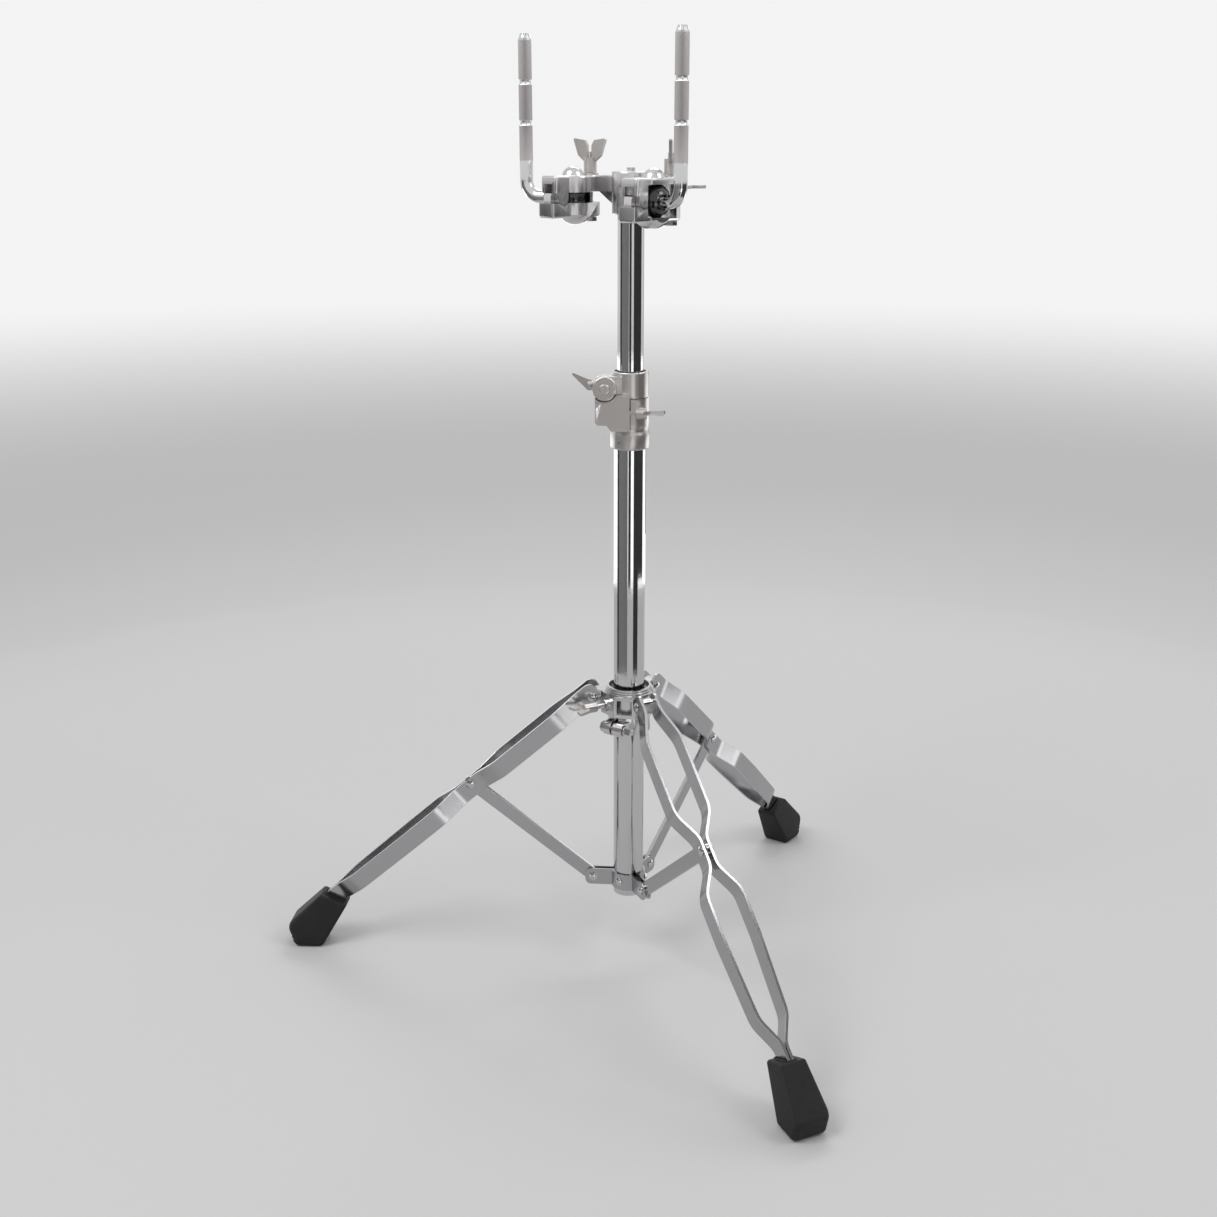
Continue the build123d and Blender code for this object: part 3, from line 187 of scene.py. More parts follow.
def rubber_finish(name):
    """Black moulded rubber with a dusty bloom."""
    finish = Finish(name, (0.012, 0.012, 0.013), 0.0, 0.55)
    bloom = finish.noise(DUST_WAVES, 4)
    finish.feed("Base Color", finish.blend(bloom, (0.008, 0.008, 0.009), (0.019, 0.018, 0.018)))
    finish.feed("Roughness", bloom * 0.25 + 0.42)
    finish.bump(finish.noise(SKIN_WAVES, 2), SKIN_DEPTH)
    finish.shader.inputs["Specular IOR Level"].default_value = 0.22
    return finish.material


# --------------------------------------------------------------- sizes in mm
# arms: upright posts with a tip, two grooves and knurled stretches between
POST_TOP = 948.5
TIP_LENGTH = 6.0
TIP_RADIUS = 4.25
KNURL_START = 833.5
GROOVES = (868.0, 905.0)
GROOVE_HALF = 2.5
GROOVE_DEPTH = 1.0
ROD_RADIUS = 6.35
BEND_RADIUS = 15.0
FLUTES = 64
FLUTE_DEPTH = 0.28
# hand, azimuth, reach of the leg from the ball, and how far it passes the ball's centre
ARMS = {"left": (-1, 161.6, 49.0, 7.0), "right": (1, -52.4, 42.0, 14.0)}
# balls and the yoke's bolts
BALL_HEIGHT = 800.0
BALL_RADIUS = 16.0
BORE_CLEARANCE = 0.05
CLAMP_AZIMUTH = -130.0
BALL_REACH = 25.3
HALF_SPACING = 52.4
HUB_BOLT_REACH = -23.0
HUB_BOLT_HEIGHT = 811.0
CLAMP_BOLT_REACH = 2.0
CLAMP_BOLT_TOP = 842.0
CLAMP_BOLT_MADE = 846.0
CLAMP_BOLT_END = 3.0
# screw threads, and where each starts and ends along its bolt
THREAD_RADIUS = 3.0
THREAD_ROOT = 2.55
THREAD_PITCH = 1.0
THREAD_RUN_OUT = 0.8
SHANK_TOLERANCE = 0.06
SHANK_CLEARANCE = 0.05
COLLAR_THREAD = (16.4, 40.5)
HUB_THREAD = (-14.5, 34.5)
CLAMP_THREAD_START = 781.5
# upper tube
UPPER_TUBE_RADIUS = 12.7
UPPER_TUBE_WALL = 1.6
UPPER_TUBE_ENDS = (330.0, 818.2)
TUBE_EDGE = 0.25
# legs: rubber boots, and the slot and welt round their straps
LEG_AZIMUTHS = {"left": 180.0, "front": 300.0, "back": 60.0}
BOOT_MOUTH = (322.5, 55.34)
BOOT_MOUTH_TILT = math.radians(22)
BOOT_MOUTH_LENGTH = 31.0
BOOT_TOE = (375.0, 25.0)
BOOT_SOLE = (337.0, 368.0)
BOOT_MOUTH_HALF = 12.5
BOOT_SOLE_HALF = 18.9
BOOT_CORNERS = (3, 3, 12, 8, 6)
BOOT_SPACING = 0.7
BOOT_GROOVES = (8.0, 12.5)
BOOT_GROOVE_DEPTH = 1.1
BOOT_GROOVE_HALF = 0.8
BOOT_EDGE_MOUTH = 2.5
BOOT_EDGE_SOLE = 6.0
STRAP_SLOPE = math.radians(41.25)
STRAP_WIDTH = 19.5
STRAP_PAIR = 7.0
SLOT_CLEARANCE = 0.5
SLOT_START = 8.0
SLOT_DEPTH = 20.0
WELT_RADIUS = 1.3
WELT_CORNER = 2.5
WELT_CLEARANCES = (1.3, 1.5)
# joint's block with the pinch bolt and its nut
JOINT_AZIMUTH = -86.4
BLOCK_WIDTH = 34.0
BLOCK_REACH = 28.0
BLOCK_SHOWN_REACH = 30.0
PINCH_REACH = 24.0
PINCH_HEIGHT = 599.0
NUT_WIDTH = 10.0
NUT_THICKNESS = 5.0
NUT_CLEARANCE = 0.15
# collar with its windows and wing screw
COLLAR_BOTTOM = 283.0
COLLAR_PLATE_BOTTOM = 302.5
COLLAR_SLEEVE = 20.9
COLLAR_FACE_TURN = 37.0
COLLAR_SCREW_AZIMUTH = 215.0
COLLAR_SCREW_HEIGHT = 294.0
WINDOW_SILL = 4.0
WINDOW_HEAD = 0.6
WINDOW_HALF = 8.0
WINDOW_DEPTH = 12.0
WINDOW_START = 0.3
SCREW_FACE_TURN = 15

# -------------------------------------------------------------------- finishes
CHROME = chrome_finish("polished chrome", (0.58, 0.58, 0.59), 0.07)
STRAP_CHROME = chrome_finish("strap chrome", (0.42, 0.42, 0.43), 0.2, 0.08)
CAST_CHROME = chrome_finish("cast chrome", (0.6, 0.59, 0.59), 0.22, 0.1, 0.00006)
SATIN = satin_finish("satin wings", (0.5, 0.475, 0.46), 0.38)
BLOCK_SATIN = satin_finish("satin block", (0.6, 0.575, 0.56), 0.36)
FASTENER = chrome_finish("plated fastener", (0.55, 0.55, 0.55), 0.16, 0.08)
ROD = rod_finish("knurled rod")
RUBBER = rubber_finish("boot rubber")
BALL_BLACK = Finish("ball black", (0.008, 0.008, 0.009), 0.0, 0.09, 0.5).material
NYLON = Finish("bush nylon", (0.02, 0.02, 0.02), 0.0, 0.4).material
BY_SLOT = {
    "chrome_tube": CHROME,
    "chrome_strap": STRAP_CHROME,
    "chrome_casting": CAST_CHROME,
    "chrome_rod": ROD,
    "satin_wing": SATIN,
    "fastener_steel": FASTENER,
    "foot_rubber": RUBBER,
    "bush_nylon": NYLON,
    "ball_black": BALL_BLACK,
}
BY_NODE = {"joint_casting": BLOCK_SATIN, "memory_lock": BLOCK_SATIN, "lock_barrel_pin": BLOCK_SATIN}

# -------------------------------------------------------------------- surfaces
UP = np.array([0.0, 0.0, 1.0])


def unit(azimuth):
    """Level direction at that azimuth."""
    a = math.radians(azimuth)
    return np.array([math.cos(a), math.sin(a), 0.0])


def add_piece(name, points, faces, material, sharp=SMOOTH_ANGLE):
    """Mesh object from points in millimetres, smooth with creases at sharp edges."""
    mesh = bpy.data.meshes.new(name)
    mesh.from_pydata((points * MM).tolist(), [], [list(face) for face in faces])
    mesh.materials.append(material)
    mesh.polygons.foreach_set("use_smooth", [True] * len(mesh.polygons))
    mesh.set_sharp_from_angle(angle=sharp)
    piece = bpy.data.objects.new(name, mesh)
    bpy.context.scene.collection.objects.link(piece)
    return piece


def grid_faces(rows, columns, close_rows=False):
    """Four-sided faces of a rows by columns grid whose columns close on themselves."""
    last = rows if close_rows else rows - 1
    r, c = np.meshgrid(np.arange(last), np.arange(columns), indexing="ij")
    r2 = (r + 1) % rows
    c2 = (c + 1) % columns
    quad = np.stack([r * columns + c, r * columns + c2, r2 * columns + c2, r2 * columns + c], -1)
    return quad.reshape(-1, 4)


def capped(name, points, first_end, last_end, material, sharp=SMOOTH_ANGLE):
    """Closed skin over a rows by columns grid of points, each end closed to its own middle point."""
    rows, around = points.shape[:2]
    column = np.arange(around)
    after = (column + 1) % around
    low_middle = rows * around
    top = low_middle - around
    low_cap = np.stack([after, column, np.full(around, low_middle)], -1)
    high_cap = np.stack([top + column, top + after, np.full(around, low_middle + 1)], -1)
    faces = grid_faces(rows, around).tolist() + low_cap.tolist() + high_cap.tolist()
    flat = np.vstack([points.reshape(-1, 3), [first_end, last_end]])
    return add_piece(name, flat, faces, material, sharp)


def spokes(axis, turn):
    """Unit spokes square to the axis, one at each angle."""
    side = np.cross(axis, [0.3, 0.5, 0.81])
    side /= np.linalg.norm(side)
    other = np.cross(axis, side)
    return np.cos(turn)[..., None] * side + np.sin(turn)[..., None] * other


def turned(name, profile, origin, axis, material, around=96):
    """Solid of revolution: each (radius, height) of a closed profile is carried round the axis."""
    radius, height = np.array(profile, float).T
    ring = spokes(axis, np.arange(around) * 2 * math.pi / around)
    points = origin + radius[:, None, None] * ring + height[:, None, None] * axis
    faces = grid_faces(len(profile), around, close_rows=True)[:, ::-1]
    return add_piece(name, points.reshape(-1, 3), faces, material)


def rounded_outline(corners, radii, steps=10):
    """Polygon with each corner drawn as an arc of its own radius: points and outward normals."""
    corners = np.array(corners, float)
    neighbours = np.roll(corners, 1, 0), np.roll(corners, -1, 0)
    points, normals = [], []
    for corner, before, after, radius in zip(corners, *neighbours, radii):
        arrive = (corner - before) / np.linalg.norm(corner - before)
        leave = (after - corner) / np.linalg.norm(after - corner)
        turn = math.atan2(arrive[0] * leave[1] - arrive[1] * leave[0], arrive @ leave)
        hand = math.copysign(1, turn)
        start = math.atan2(-hand * arrive[0], hand * arrive[1])
        middle = corner - arrive * radius * math.tan(abs(turn) / 2)
        middle = middle - radius * np.array([math.cos(start), math.sin(start)])
        angle = start + turn * np.linspace(0, 1, steps)
        normal = np.stack([np.cos(angle), np.sin(angle)], -1)
        points.append(middle + radius * normal)
        normals.append(normal)
    return np.vstack(points), np.vstack(normals)


def outward(mesh):
    """Turn every face of a closed mesh to the outside."""
    shape = bmesh.new()
    shape.from_mesh(mesh)
    bmesh.ops.recalc_face_normals(shape, faces=shape.faces)
    shape.to_mesh(mesh)
    shape.free()


def prism(outline, origin, right, up, depth):
    """Mesh of a flat outline carried along its normal, right x up, by that depth."""
    outline = np.array(outline, float)
    flat = origin + outline[:, :1] * right + outline[:, 1:] * up
    raised = flat + depth * np.cross(right, up)
    count = len(outline)
    sides = grid_faces(2, count).tolist()
    mesh = bpy.data.meshes.new("tool")
    ends = [list(range(count)), list(range(count, 2 * count))]
    mesh.from_pydata((np.vstack([flat, raised]) * MM).tolist(), [], sides + ends)
    outward(mesh)
    return mesh


def box_outline(left, right, low, high):
    """Corners of a rectangle."""
    return [(left, low), (right, low), (right, high), (left, high)]


def carved(mesh, tool, operation):
    """The mesh with the tool's volume taken out of it or added to it."""
    subject = bpy.data.objects.new("subject", mesh)
    cutter = bpy.data.objects.new("cutter", tool)
    for piece in (subject, cutter):
        bpy.context.scene.collection.objects.link(piece)
    step = subject.modifiers.new("carve", "BOOLEAN")
    step.operation = operation
    step.solver = "EXACT"
    step.object = cutter
    graph = bpy.context.evaluated_depsgraph_get()
    result = bpy.data.meshes.new_from_object(subject.evaluated_get(graph))
    for piece in (subject, cutter):
        bpy.data.objects.remove(piece)
    return result


def moved_points(mesh, change):
    """Pass the mesh's points, in millimetres, through a function that moves some of them."""
    points = np.empty(len(mesh.vertices) * 3, np.float32)
    mesh.vertices.foreach_get("co", points)
    points = change(points.reshape(-1, 3).astype(float) / MM) * MM
    mesh.vertices.foreach_set("co", points.astype(np.float32).ravel())
    mesh.update()
    return mesh


def deeper_block(mesh):
    """The joint's block brought forward, with the nut's pocket closed at the front."""
    out, right = unit(JOINT_AZIMUTH), unit(JOINT_AZIMUTH + 90)
    face_tolerance = 0.05
    filler_start, pocket_start = 0.03, 0.04  # small steps, so that no two ends lie in one plane

    def forward(points):
        face = points @ out > BLOCK_REACH - face_tolerance
        points[face] += (BLOCK_SHOWN_REACH - BLOCK_REACH) * out
        return points

    mesh = moved_points(mesh, forward)
    floor_side = -(BLOCK_WIDTH - NUT_THICKNESS - 1)
    corner = PINCH_REACH * out + PINCH_HEIGHT * UP
    front = BLOCK_SHOWN_REACH - PINCH_REACH
    half = NUT_WIDTH * 0.62
    origin = corner + (floor_side + filler_start) * right
    filler_depth = BLOCK_WIDTH + floor_side + filler_start
    filler = prism(box_outline(0.5, front, -half, half), origin, out, UP, filler_depth)
    mesh = carved(mesh, filler, "UNION")
    angle = np.arange(6) * math.pi / 3 + math.pi / 6
    corners = (NUT_WIDTH / 2 + NUT_CLEARANCE) / math.cos(math.pi / 6)
    hexagon = corners * np.stack([np.cos(angle), np.sin(angle)], -1)
    pocket = prism(hexagon, origin + pocket_start * right, out, UP, NUT_THICKNESS + 4)
    return carved(mesh, pocket, "DIFFERENCE")


def turned_nut(mesh):
    """The pinch nut turned by half a corner, so that a flat faces the block's front."""
    out, right = unit(JOINT_AZIMUTH), unit(JOINT_AZIMUTH + 90)
    middle = PINCH_REACH * out + PINCH_HEIGHT * UP

    def turn(points):
        away = points - middle
        level, rise, along = away @ out, away @ UP, away @ right
        cos, sin = math.cos(math.pi / 6), math.sin(math.pi / 6)
        level, rise = cos * level - sin * rise, sin * level + cos * rise
        return middle + level[:, None] * out + rise[:, None] * UP + along[:, None] * right

    return moved_points(mesh, turn)


def open_collar(mesh):
    """The collar's skirt with its windows opened up to the plate above."""
    low, high = COLLAR_BOTTOM + WINDOW_SILL, COLLAR_PLATE_BOTTOM - WINDOW_HEAD
    window = box_outline(-WINDOW_HALF, WINDOW_HALF, low, high)
    for azimuth in LEG_AZIMUTHS.values():
        for turn in (-COLLAR_FACE_TURN, COLLAR_FACE_TURN):
            face = azimuth + turn
            if abs(face % 360 - COLLAR_SCREW_AZIMUTH) > SCREW_FACE_TURN:
                start = unit(face) * (COLLAR_SLEEVE + WINDOW_START)
                opening = prism(window, start, unit(face + 90), UP, WINDOW_DEPTH)
                mesh = carved(mesh, opening, "DIFFERENCE")
    return mesh


def shorter_bolt(mesh):
    """The clamp bolt ended lower, inside the hollow between the wings."""

    def lower(points):
        end = points[:, 2] > CLAMP_BOLT_MADE - CLAMP_BOLT_END
        points[end] -= (CLAMP_BOLT_MADE - CLAMP_BOLT_TOP) * UP
        return points

    return moved_points(mesh, lower)


RESHAPED = {
    "joint_casting": deeper_block,
    "joint_nut": turned_nut,
    "tripod_collar": open_collar,
    "clamp_bolt_left": shorter_bolt,
    "clamp_bolt_right": shorter_bolt,
}


def merged(mesh, flatten):
    """Join the mesh's loose triangles and, to flatten it, those that lie in one plane."""
    shape = bmesh.new()
    shape.from_mesh(mesh)
    bmesh.ops.remove_doubles(shape, verts=shape.verts, dist=MERGE_DISTANCE)
    if flatten:
        bmesh.ops.dissolve_limit(
            shape, angle_limit=math.radians(0.5), verts=shape.verts, edges=shape.edges,
            delimit={"NORMAL"},
        )
    shape.to_mesh(mesh)
    shape.free()


def refined(node, edge):
    """The solid with its loose triangles merged and its sharp edges rounded."""
    mesh = frame["nodes"][node].data.copy()
    merged(mesh, False)
    if node in RESHAPED:
        mesh = RESHAPED[node](mesh)
    merged(mesh, True)
    mesh.polygons.foreach_set("use_smooth", [True] * len(mesh.polygons))
    mesh.set_sharp_from_angle(angle=SMOOTH_ANGLE)
    mesh.materials.clear()
    mesh.materials.append(BY_NODE.get(node, BY_SLOT[slots[node]]))
    piece = bpy.data.objects.new("shown_" + node, mesh)
    bpy.context.scene.collection.objects.link(piece)
    bevel = piece.modifiers.new("edges", "BEVEL")
    bevel.width = edge * MM
    bevel.segments = 2
    bevel.limit_method = "ANGLE"
    bevel.angle_limit = math.radians(35)
    bevel.harden_normals = True
    bevel.use_clamp_overlap = True
    return piece


def rod_stations(reach, overlap):
    """Distances along an arm where its rings stand: the leg, the bend, then the post."""
    bend_length = BEND_RADIUS * math.pi / 2
    start = reach - BEND_RADIUS
    post_start = start + bend_length
    rise = post_start - BEND_RADIUS
    marks = [-overlap, *np.linspace(0, start, 4), *np.linspace(start, post_start, 25)[1:]]
    heights = [KNURL_START - BALL_HEIGHT - 0.4, KNURL_START - BALL_HEIGHT]
    for groove in GROOVES:
        low = groove - GROOVE_HALF - BALL_HEIGHT
        high = groove + GROOVE_HALF - BALL_HEIGHT
        heights += [low, low + 0.05, low + 0.6, high - 0.6, high - 0.05, high]
    top = POST_TOP - BALL_HEIGHT
    heights += [top - TIP_LENGTH, top - TIP_LENGTH * 0.5, top]
    return np.array(marks + [h + rise for h in heights]), start, post_start, rise


def arm_rod(side):
    """L-shaped rod: circles carried out along the leg, round the bend and up the post.
    On the post the radius dips and rises FLUTES times round, and narrows in the grooves and at the tip."""
    hand, azimuth, reach, overlap = ARMS[side]
    centre = ball_centre(hand)
    out = unit(azimuth)
    across = np.cross(UP, out)
    along, start, post_start, rise = rod_stations(reach, overlap)
    bend = np.clip((along - start) / BEND_RADIUS, 0, math.pi / 2)
    level = np.minimum(along, start) + BEND_RADIUS * np.sin(bend)
    lift = BEND_RADIUS * (1 - np.cos(bend)) + np.maximum(along - post_start, 0)
    spine = centre + level[:, None] * out + lift[:, None] * UP
    normal = np.cos(bend)[:, None] * UP - np.sin(bend)[:, None] * out
    around = FLUTES * 6
    turn = np.arange(around) * 2 * math.pi / around
    height = BALL_HEIGHT + lift
    radius = np.full(len(along), ROD_RADIUS)
    for groove in GROOVES:
        radius[np.abs(height - groove) < GROOVE_HALF - 0.1] -= GROOVE_DEPTH * 0.5
        radius[np.abs(height - groove) < GROOVE_HALF - 0.5] -= GROOVE_DEPTH * 0.5
    tip = np.clip((height - (POST_TOP - TIP_LENGTH)) / TIP_LENGTH, 0, 1)
    radius -= (ROD_RADIUS - TIP_RADIUS) * tip
    fluted = (height > KNURL_START - 0.2).astype(float)
    for groove in GROOVES:
        fluted[np.abs(height - groove) < GROOVE_HALF - 0.1] = 0
    wave = 0.5 - 0.5 * np.cos(turn * FLUTES)
    rings = radius[:, None] - FLUTE_DEPTH * fluted[:, None] * wave[None, :] ** 0.7
    offset = np.cos(turn)[None, :, None] * across + np.sin(turn)[None, :, None] * normal[:, None, :]
    points = spine[:, None, :] + rings[..., None] * offset
    return capped("rod_" + side, points, spine[0], spine[-1], ROD, math.radians(60))


def ball_centre(hand):
    """Centre of the ball on that side of the yoke."""
    across = unit(CLAMP_AZIMUTH + 90)
    return unit(CLAMP_AZIMUTH) * BALL_REACH + across * hand * HALF_SPACING + BALL_HEIGHT * UP


def ball(side):
    """Ball with a bore along the arm: an arc from one mouth of the bore to the other, and the wall."""
    hand, azimuth = ARMS[side][:2]
    edge = math.asin((ROD_RADIUS + BORE_CLEARANCE) / BALL_RADIUS)
    angle = np.linspace(edge, math.pi - edge, 60)
    arc = np.stack([BALL_RADIUS * np.sin(angle), BALL_RADIUS * np.cos(angle)], -1)
    return turned("shown_ball_" + side, arc, ball_centre(hand), unit(azimuth), BALL_BLACK)


def slim_shank(piece, origin, axis):
    """Bring the bolt's plain shank in from its full radius to just under the root of the thread."""

    def slimmer(points):
        along = (points - origin) @ axis
        spoke = points - origin - along[:, None] * axis
        distance = np.linalg.norm(spoke, axis=1)
        shank = np.abs(distance - THREAD_RADIUS) < SHANK_TOLERANCE
        spoke[shank] *= (THREAD_ROOT - SHANK_CLEARANCE) / THREAD_RADIUS
        return origin + along[:, None] * axis + spoke

    moved_points(piece.data, slimmer)


def thread(name, origin, axis, start, end):
    """Screw thread: the radius swings from root to crest and back once a pitch,
    and the place of the crest climbs one pitch for each turn."""
    around = 24
    rows = int(math.ceil((end - start) / THREAD_PITCH * 8)) + 1
    height = np.linspace(start, end, rows)[:, None]
    turn = (np.arange(around) / around)[None, :]
    swing = np.abs(((height / THREAD_PITCH - turn) % 1.0) * 2 - 1)
    radius = THREAD_ROOT + (THREAD_RADIUS - THREAD_ROOT) * np.clip(swing * 1.3 - 0.1, 0, 1)
    points = origin + radius[..., None] * spokes(axis, turn * 2 * math.pi) + height[..., None] * axis
    return capped(name, points, origin + start * axis, origin + end * axis, FASTENER)


def boot(side):
    """Moulded boot. Its side outline is a polygon with round corners; across the leg the body
    widens from the mouth to the sole, and its long edges are quarter circles that grow with it:
    at angle t the outline is drawn in by R (1 - sin t) and stands R (1 - cos t) inside the side."""
    out, across = unit(LEG_AZIMUTHS[side]), unit(LEG_AZIMUTHS[side] + 90)
    mouth = np.array(BOOT_MOUTH)
    lip = BOOT_MOUTH_LENGTH / 2 * np.array([math.cos(BOOT_MOUTH_TILT), math.sin(BOOT_MOUTH_TILT)])
    corners = [mouth - lip, mouth + lip, BOOT_TOE, (BOOT_SOLE[1], 0), (BOOT_SOLE[0], 0)]
    outline = np.hstack(rounded_outline(corners, BOOT_CORNERS, 14))
    filled = []
    for here, after in zip(outline, np.roll(outline, -1, 0)):
        count = max(int(np.linalg.norm(after[:2] - here[:2]) / BOOT_SPACING), 1)
        filled.append(here + (after - here) * np.arange(count)[:, None] / count)
    points, normals = np.split(np.vstack(filled), 2, axis=1)
    normals /= np.linalg.norm(normals, axis=1)[:, None]
    reach = np.array([BOOT_SOLE[1], 0]) - mouth
    length = np.linalg.norm(reach)
    toe_side = (points[:, 0] > BOOT_SOLE[1] - 3) & (points[:, 1] < BOOT_TOE[1])
    for groove in BOOT_GROOVES:
        near = np.exp(-((points[:, 1] - groove) / BOOT_GROOVE_HALF) ** 2)
        points = points - normals * (BOOT_GROOVE_DEPTH * near * toe_side)[:, None]
    share = np.clip((points - mouth) @ reach / length ** 2, 0, 1)
    edge = BOOT_EDGE_MOUTH + (BOOT_EDGE_SOLE - BOOT_EDGE_MOUTH) * share
    rows = []
    quarter = np.linspace(0, math.pi / 2, 9)
    for hand, angles in ((-1, quarter), (1, quarter[::-1])):
        for angle in angles:
            inset = points - normals * (edge * (1 - math.sin(angle)))[:, None]
            share = (inset - mouth) @ reach / length ** 2
            half = BOOT_MOUTH_HALF + (BOOT_SOLE_HALF - BOOT_MOUTH_HALF) * share
            width = hand * (half - edge * (1 - math.cos(angle)))
            rows.append(inset[:, :1] * out + inset[:, 1:] * UP + width[:, None] * across)
    count = len(points)
    faces = grid_faces(len(rows), count).tolist()
    faces += [list(range(count)), list(range((len(rows) - 1) * count, len(rows) * count))]
    mesh = bpy.data.meshes.new("boot")
    mesh.from_pydata((np.vstack(rows) * MM).tolist(), [], faces)
    outward(mesh)
    axis = -math.cos(STRAP_SLOPE) * out + math.sin(STRAP_SLOPE) * UP
    upright = math.sin(STRAP_SLOPE) * out + math.cos(STRAP_SLOPE) * UP
    start = mouth[0] * out + mouth[1] * UP - SLOT_START * axis
    half_pair = STRAP_PAIR / 2 + SLOT_CLEARANCE
    half_strap = STRAP_WIDTH / 2 + SLOT_CLEARANCE
    slot = box_outline(-half_pair, half_pair, -half_strap, half_strap)
    right = np.cross(upright, axis)
    mesh = carved(mesh, prism(slot, start, right, upright, SLOT_DEPTH), "DIFFERENCE")
    mesh.polygons.foreach_set("use_smooth", [True] * len(mesh.polygons))
    mesh.set_sharp_from_angle(angle=math.radians(40))
    mesh.materials.clear()
    mesh.materials.append(RUBBER)
    piece = bpy.data.objects.new("shown_rubber_foot_" + side, mesh)
    bpy.context.scene.collection.objects.link(piece)
    return piece


def boot_rim(side):
    """Welt round the straps: a small circle carried round a rectangle with round corners."""
    out, across = unit(LEG_AZIMUTHS[side]), unit(LEG_AZIMUTHS[side] + 90)
    along = math.cos(BOOT_MOUTH_TILT) * out + math.sin(BOOT_MOUTH_TILT) * UP
    normal = np.cross(along, across)
    normal *= np.sign(normal[2])
    skew = math.cos(math.pi / 2 - BOOT_MOUTH_TILT - STRAP_SLOPE)
    half_long = STRAP_WIDTH / 2 / skew + WELT_CLEARANCES[0]
    half_wide = STRAP_PAIR / 2 + WELT_CLEARANCES[1]
    corners = box_outline(-half_long, half_long, -half_wide, half_wide)
    points, normals = rounded_outline(corners, (WELT_CORNER,) * 4, 8)
    angle = np.arange(16) * math.pi / 8
    reach = points[:, None, :] + WELT_RADIUS * np.cos(angle)[None, :, None] * normals[:, None, :]
    lift = WELT_RADIUS * np.sin(angle)[None, :, None]
    middle = BOOT_MOUTH[0] * out + BOOT_MOUTH[1] * UP
    grid = middle + reach[..., :1] * along + reach[..., 1:] * across + lift * normal
    faces = grid_faces(len(points), len(angle), close_rows=True)
    piece = add_piece("boot_rim_" + side, grid.reshape(-1, 3), faces, RUBBER)
    outward(piece.data)
    return piece


def tube(name, radius, wall, low, high, material):
    """Tube standing on the column axis, its ends lightly broken."""
    inner = radius - wall
    edge = TUBE_EDGE
    profile = [
        (inner, low + edge), (inner + edge, low), (radius - edge, low), (radius, low + edge),
        (radius, high - edge), (radius - edge, high), (inner + edge, high), (inner, high - edge),
    ]
    return turned(name, profile, np.zeros(3), UP, material, 160)


# ---------------------------------------------------------------------- pieces
slots = {part["node"]: part["material_slot"] for part in frame["record"]["subparts"]}
bodies = frame["record"]["behaviour"]["bodies"]
body_of = {node: body for body, nodes in bodies.items() for node in nodes}


def show(piece, node):
    """The piece stands for its solid, moves with its body and keeps its finish."""
    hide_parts(node)
    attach(piece, body_of[node])


made = {}
for side in ARMS:
    made["arm_" + side] = arm_rod(side)
    made["ball_" + side] = ball(side)
for side in LEG_AZIMUTHS:
    made["rubber_foot_" + side] = boot(side)
    rim = boot_rim(side)
    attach(rim, body_of["rubber_foot_" + side])
made["upper_tube"] = tube(
    "shown_upper_tube", UPPER_TUBE_RADIUS, UPPER_TUBE_WALL, *UPPER_TUBE_ENDS, CHROME
)

# how far the edges of the solids are rounded, in mm
EDGES = {
    "chrome_strap": 0.7,
    "chrome_casting": 0.6,
    "satin_wing": 0.5,
    "foot_rubber": 1.2,
    "fastener_steel": 0.25,
    "bush_nylon": 0.2,
    "chrome_tube": 0.2,
}
for node in frame["nodes"]:
    if node not in made:
        made[node] = refined(node, EDGES[slots[node]])
for node, piece in made.items():
    show(piece, node)

forward = unit(CLAMP_AZIMUTH)
across = unit(CLAMP_AZIMUTH + 90)
collar_foot = COLLAR_SCREW_HEIGHT * UP
hub_foot = HUB_BOLT_REACH * forward + HUB_BOLT_HEIGHT * UP
threads = [
    ("collar_wing_screw", collar_foot, unit(COLLAR_SCREW_AZIMUTH), *COLLAR_THREAD),
    ("hub_wing_bolt", hub_foot, across, *HUB_THREAD),
]
for hand, side in ((-1, "left"), (1, "right")):
    foot = CLAMP_BOLT_REACH * forward + hand * HALF_SPACING * across
    end = CLAMP_BOLT_TOP - THREAD_RUN_OUT
    threads.append(("clamp_bolt_" + side, foot, UP, CLAMP_THREAD_START, end))
for node, origin, axis, start, end in threads:
    slim_shank(made[node], origin, axis)
    piece = thread("thread_" + node, origin, axis, start, end)
    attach(piece, body_of[node])

# ----------------------------------------------------------------------- stage
# metres from here on
CARD_RADIUS = 0.6
CARD_TOP = 0.8
RING_RADIUS = 1.45
RING_TOP = 0.45
CAMERA_AZIMUTH = -86.4
FLOOR_LEVEL = -0.0004
FLOOR_REACH = 7.0
FLOOR_SOLID = 1.6


def stage_piece(name, points, faces, material):
    """Mesh in metres that isn't part of the object."""
    mesh = bpy.data.meshes.new(name)
    mesh.from_pydata(points.tolist(), [], faces.tolist())
    mesh.materials.append(material)
    piece = bpy.data.objects.new(name, mesh)
    bpy.context.scene.collection.objects.link(piece)
    return piece


def card(name, start, end, radius, bottom, top, material):
    """Curved card round the stand, from start to end degrees right of the camera.
    Only reflections show it."""
    turn = np.radians(CAMERA_AZIMUTH + np.linspace(start, end, 48))
    rim = radius * np.stack([np.cos(turn), np.sin(turn)], -1)
    low = np.column_stack([rim, np.full(len(turn), bottom)])
    high = np.column_stack([rim, np.full(len(turn), top)])
    step = np.arange(len(turn) - 1)
    faces = np.stack([step, step + 1, step + 1 + len(turn), step + len(turn)], -1)
    piece = stage_piece(name, np.vstack([low, high]), faces, material)
    piece.visible_camera = False
    piece.visible_diffuse = False
    piece.visible_shadow = False


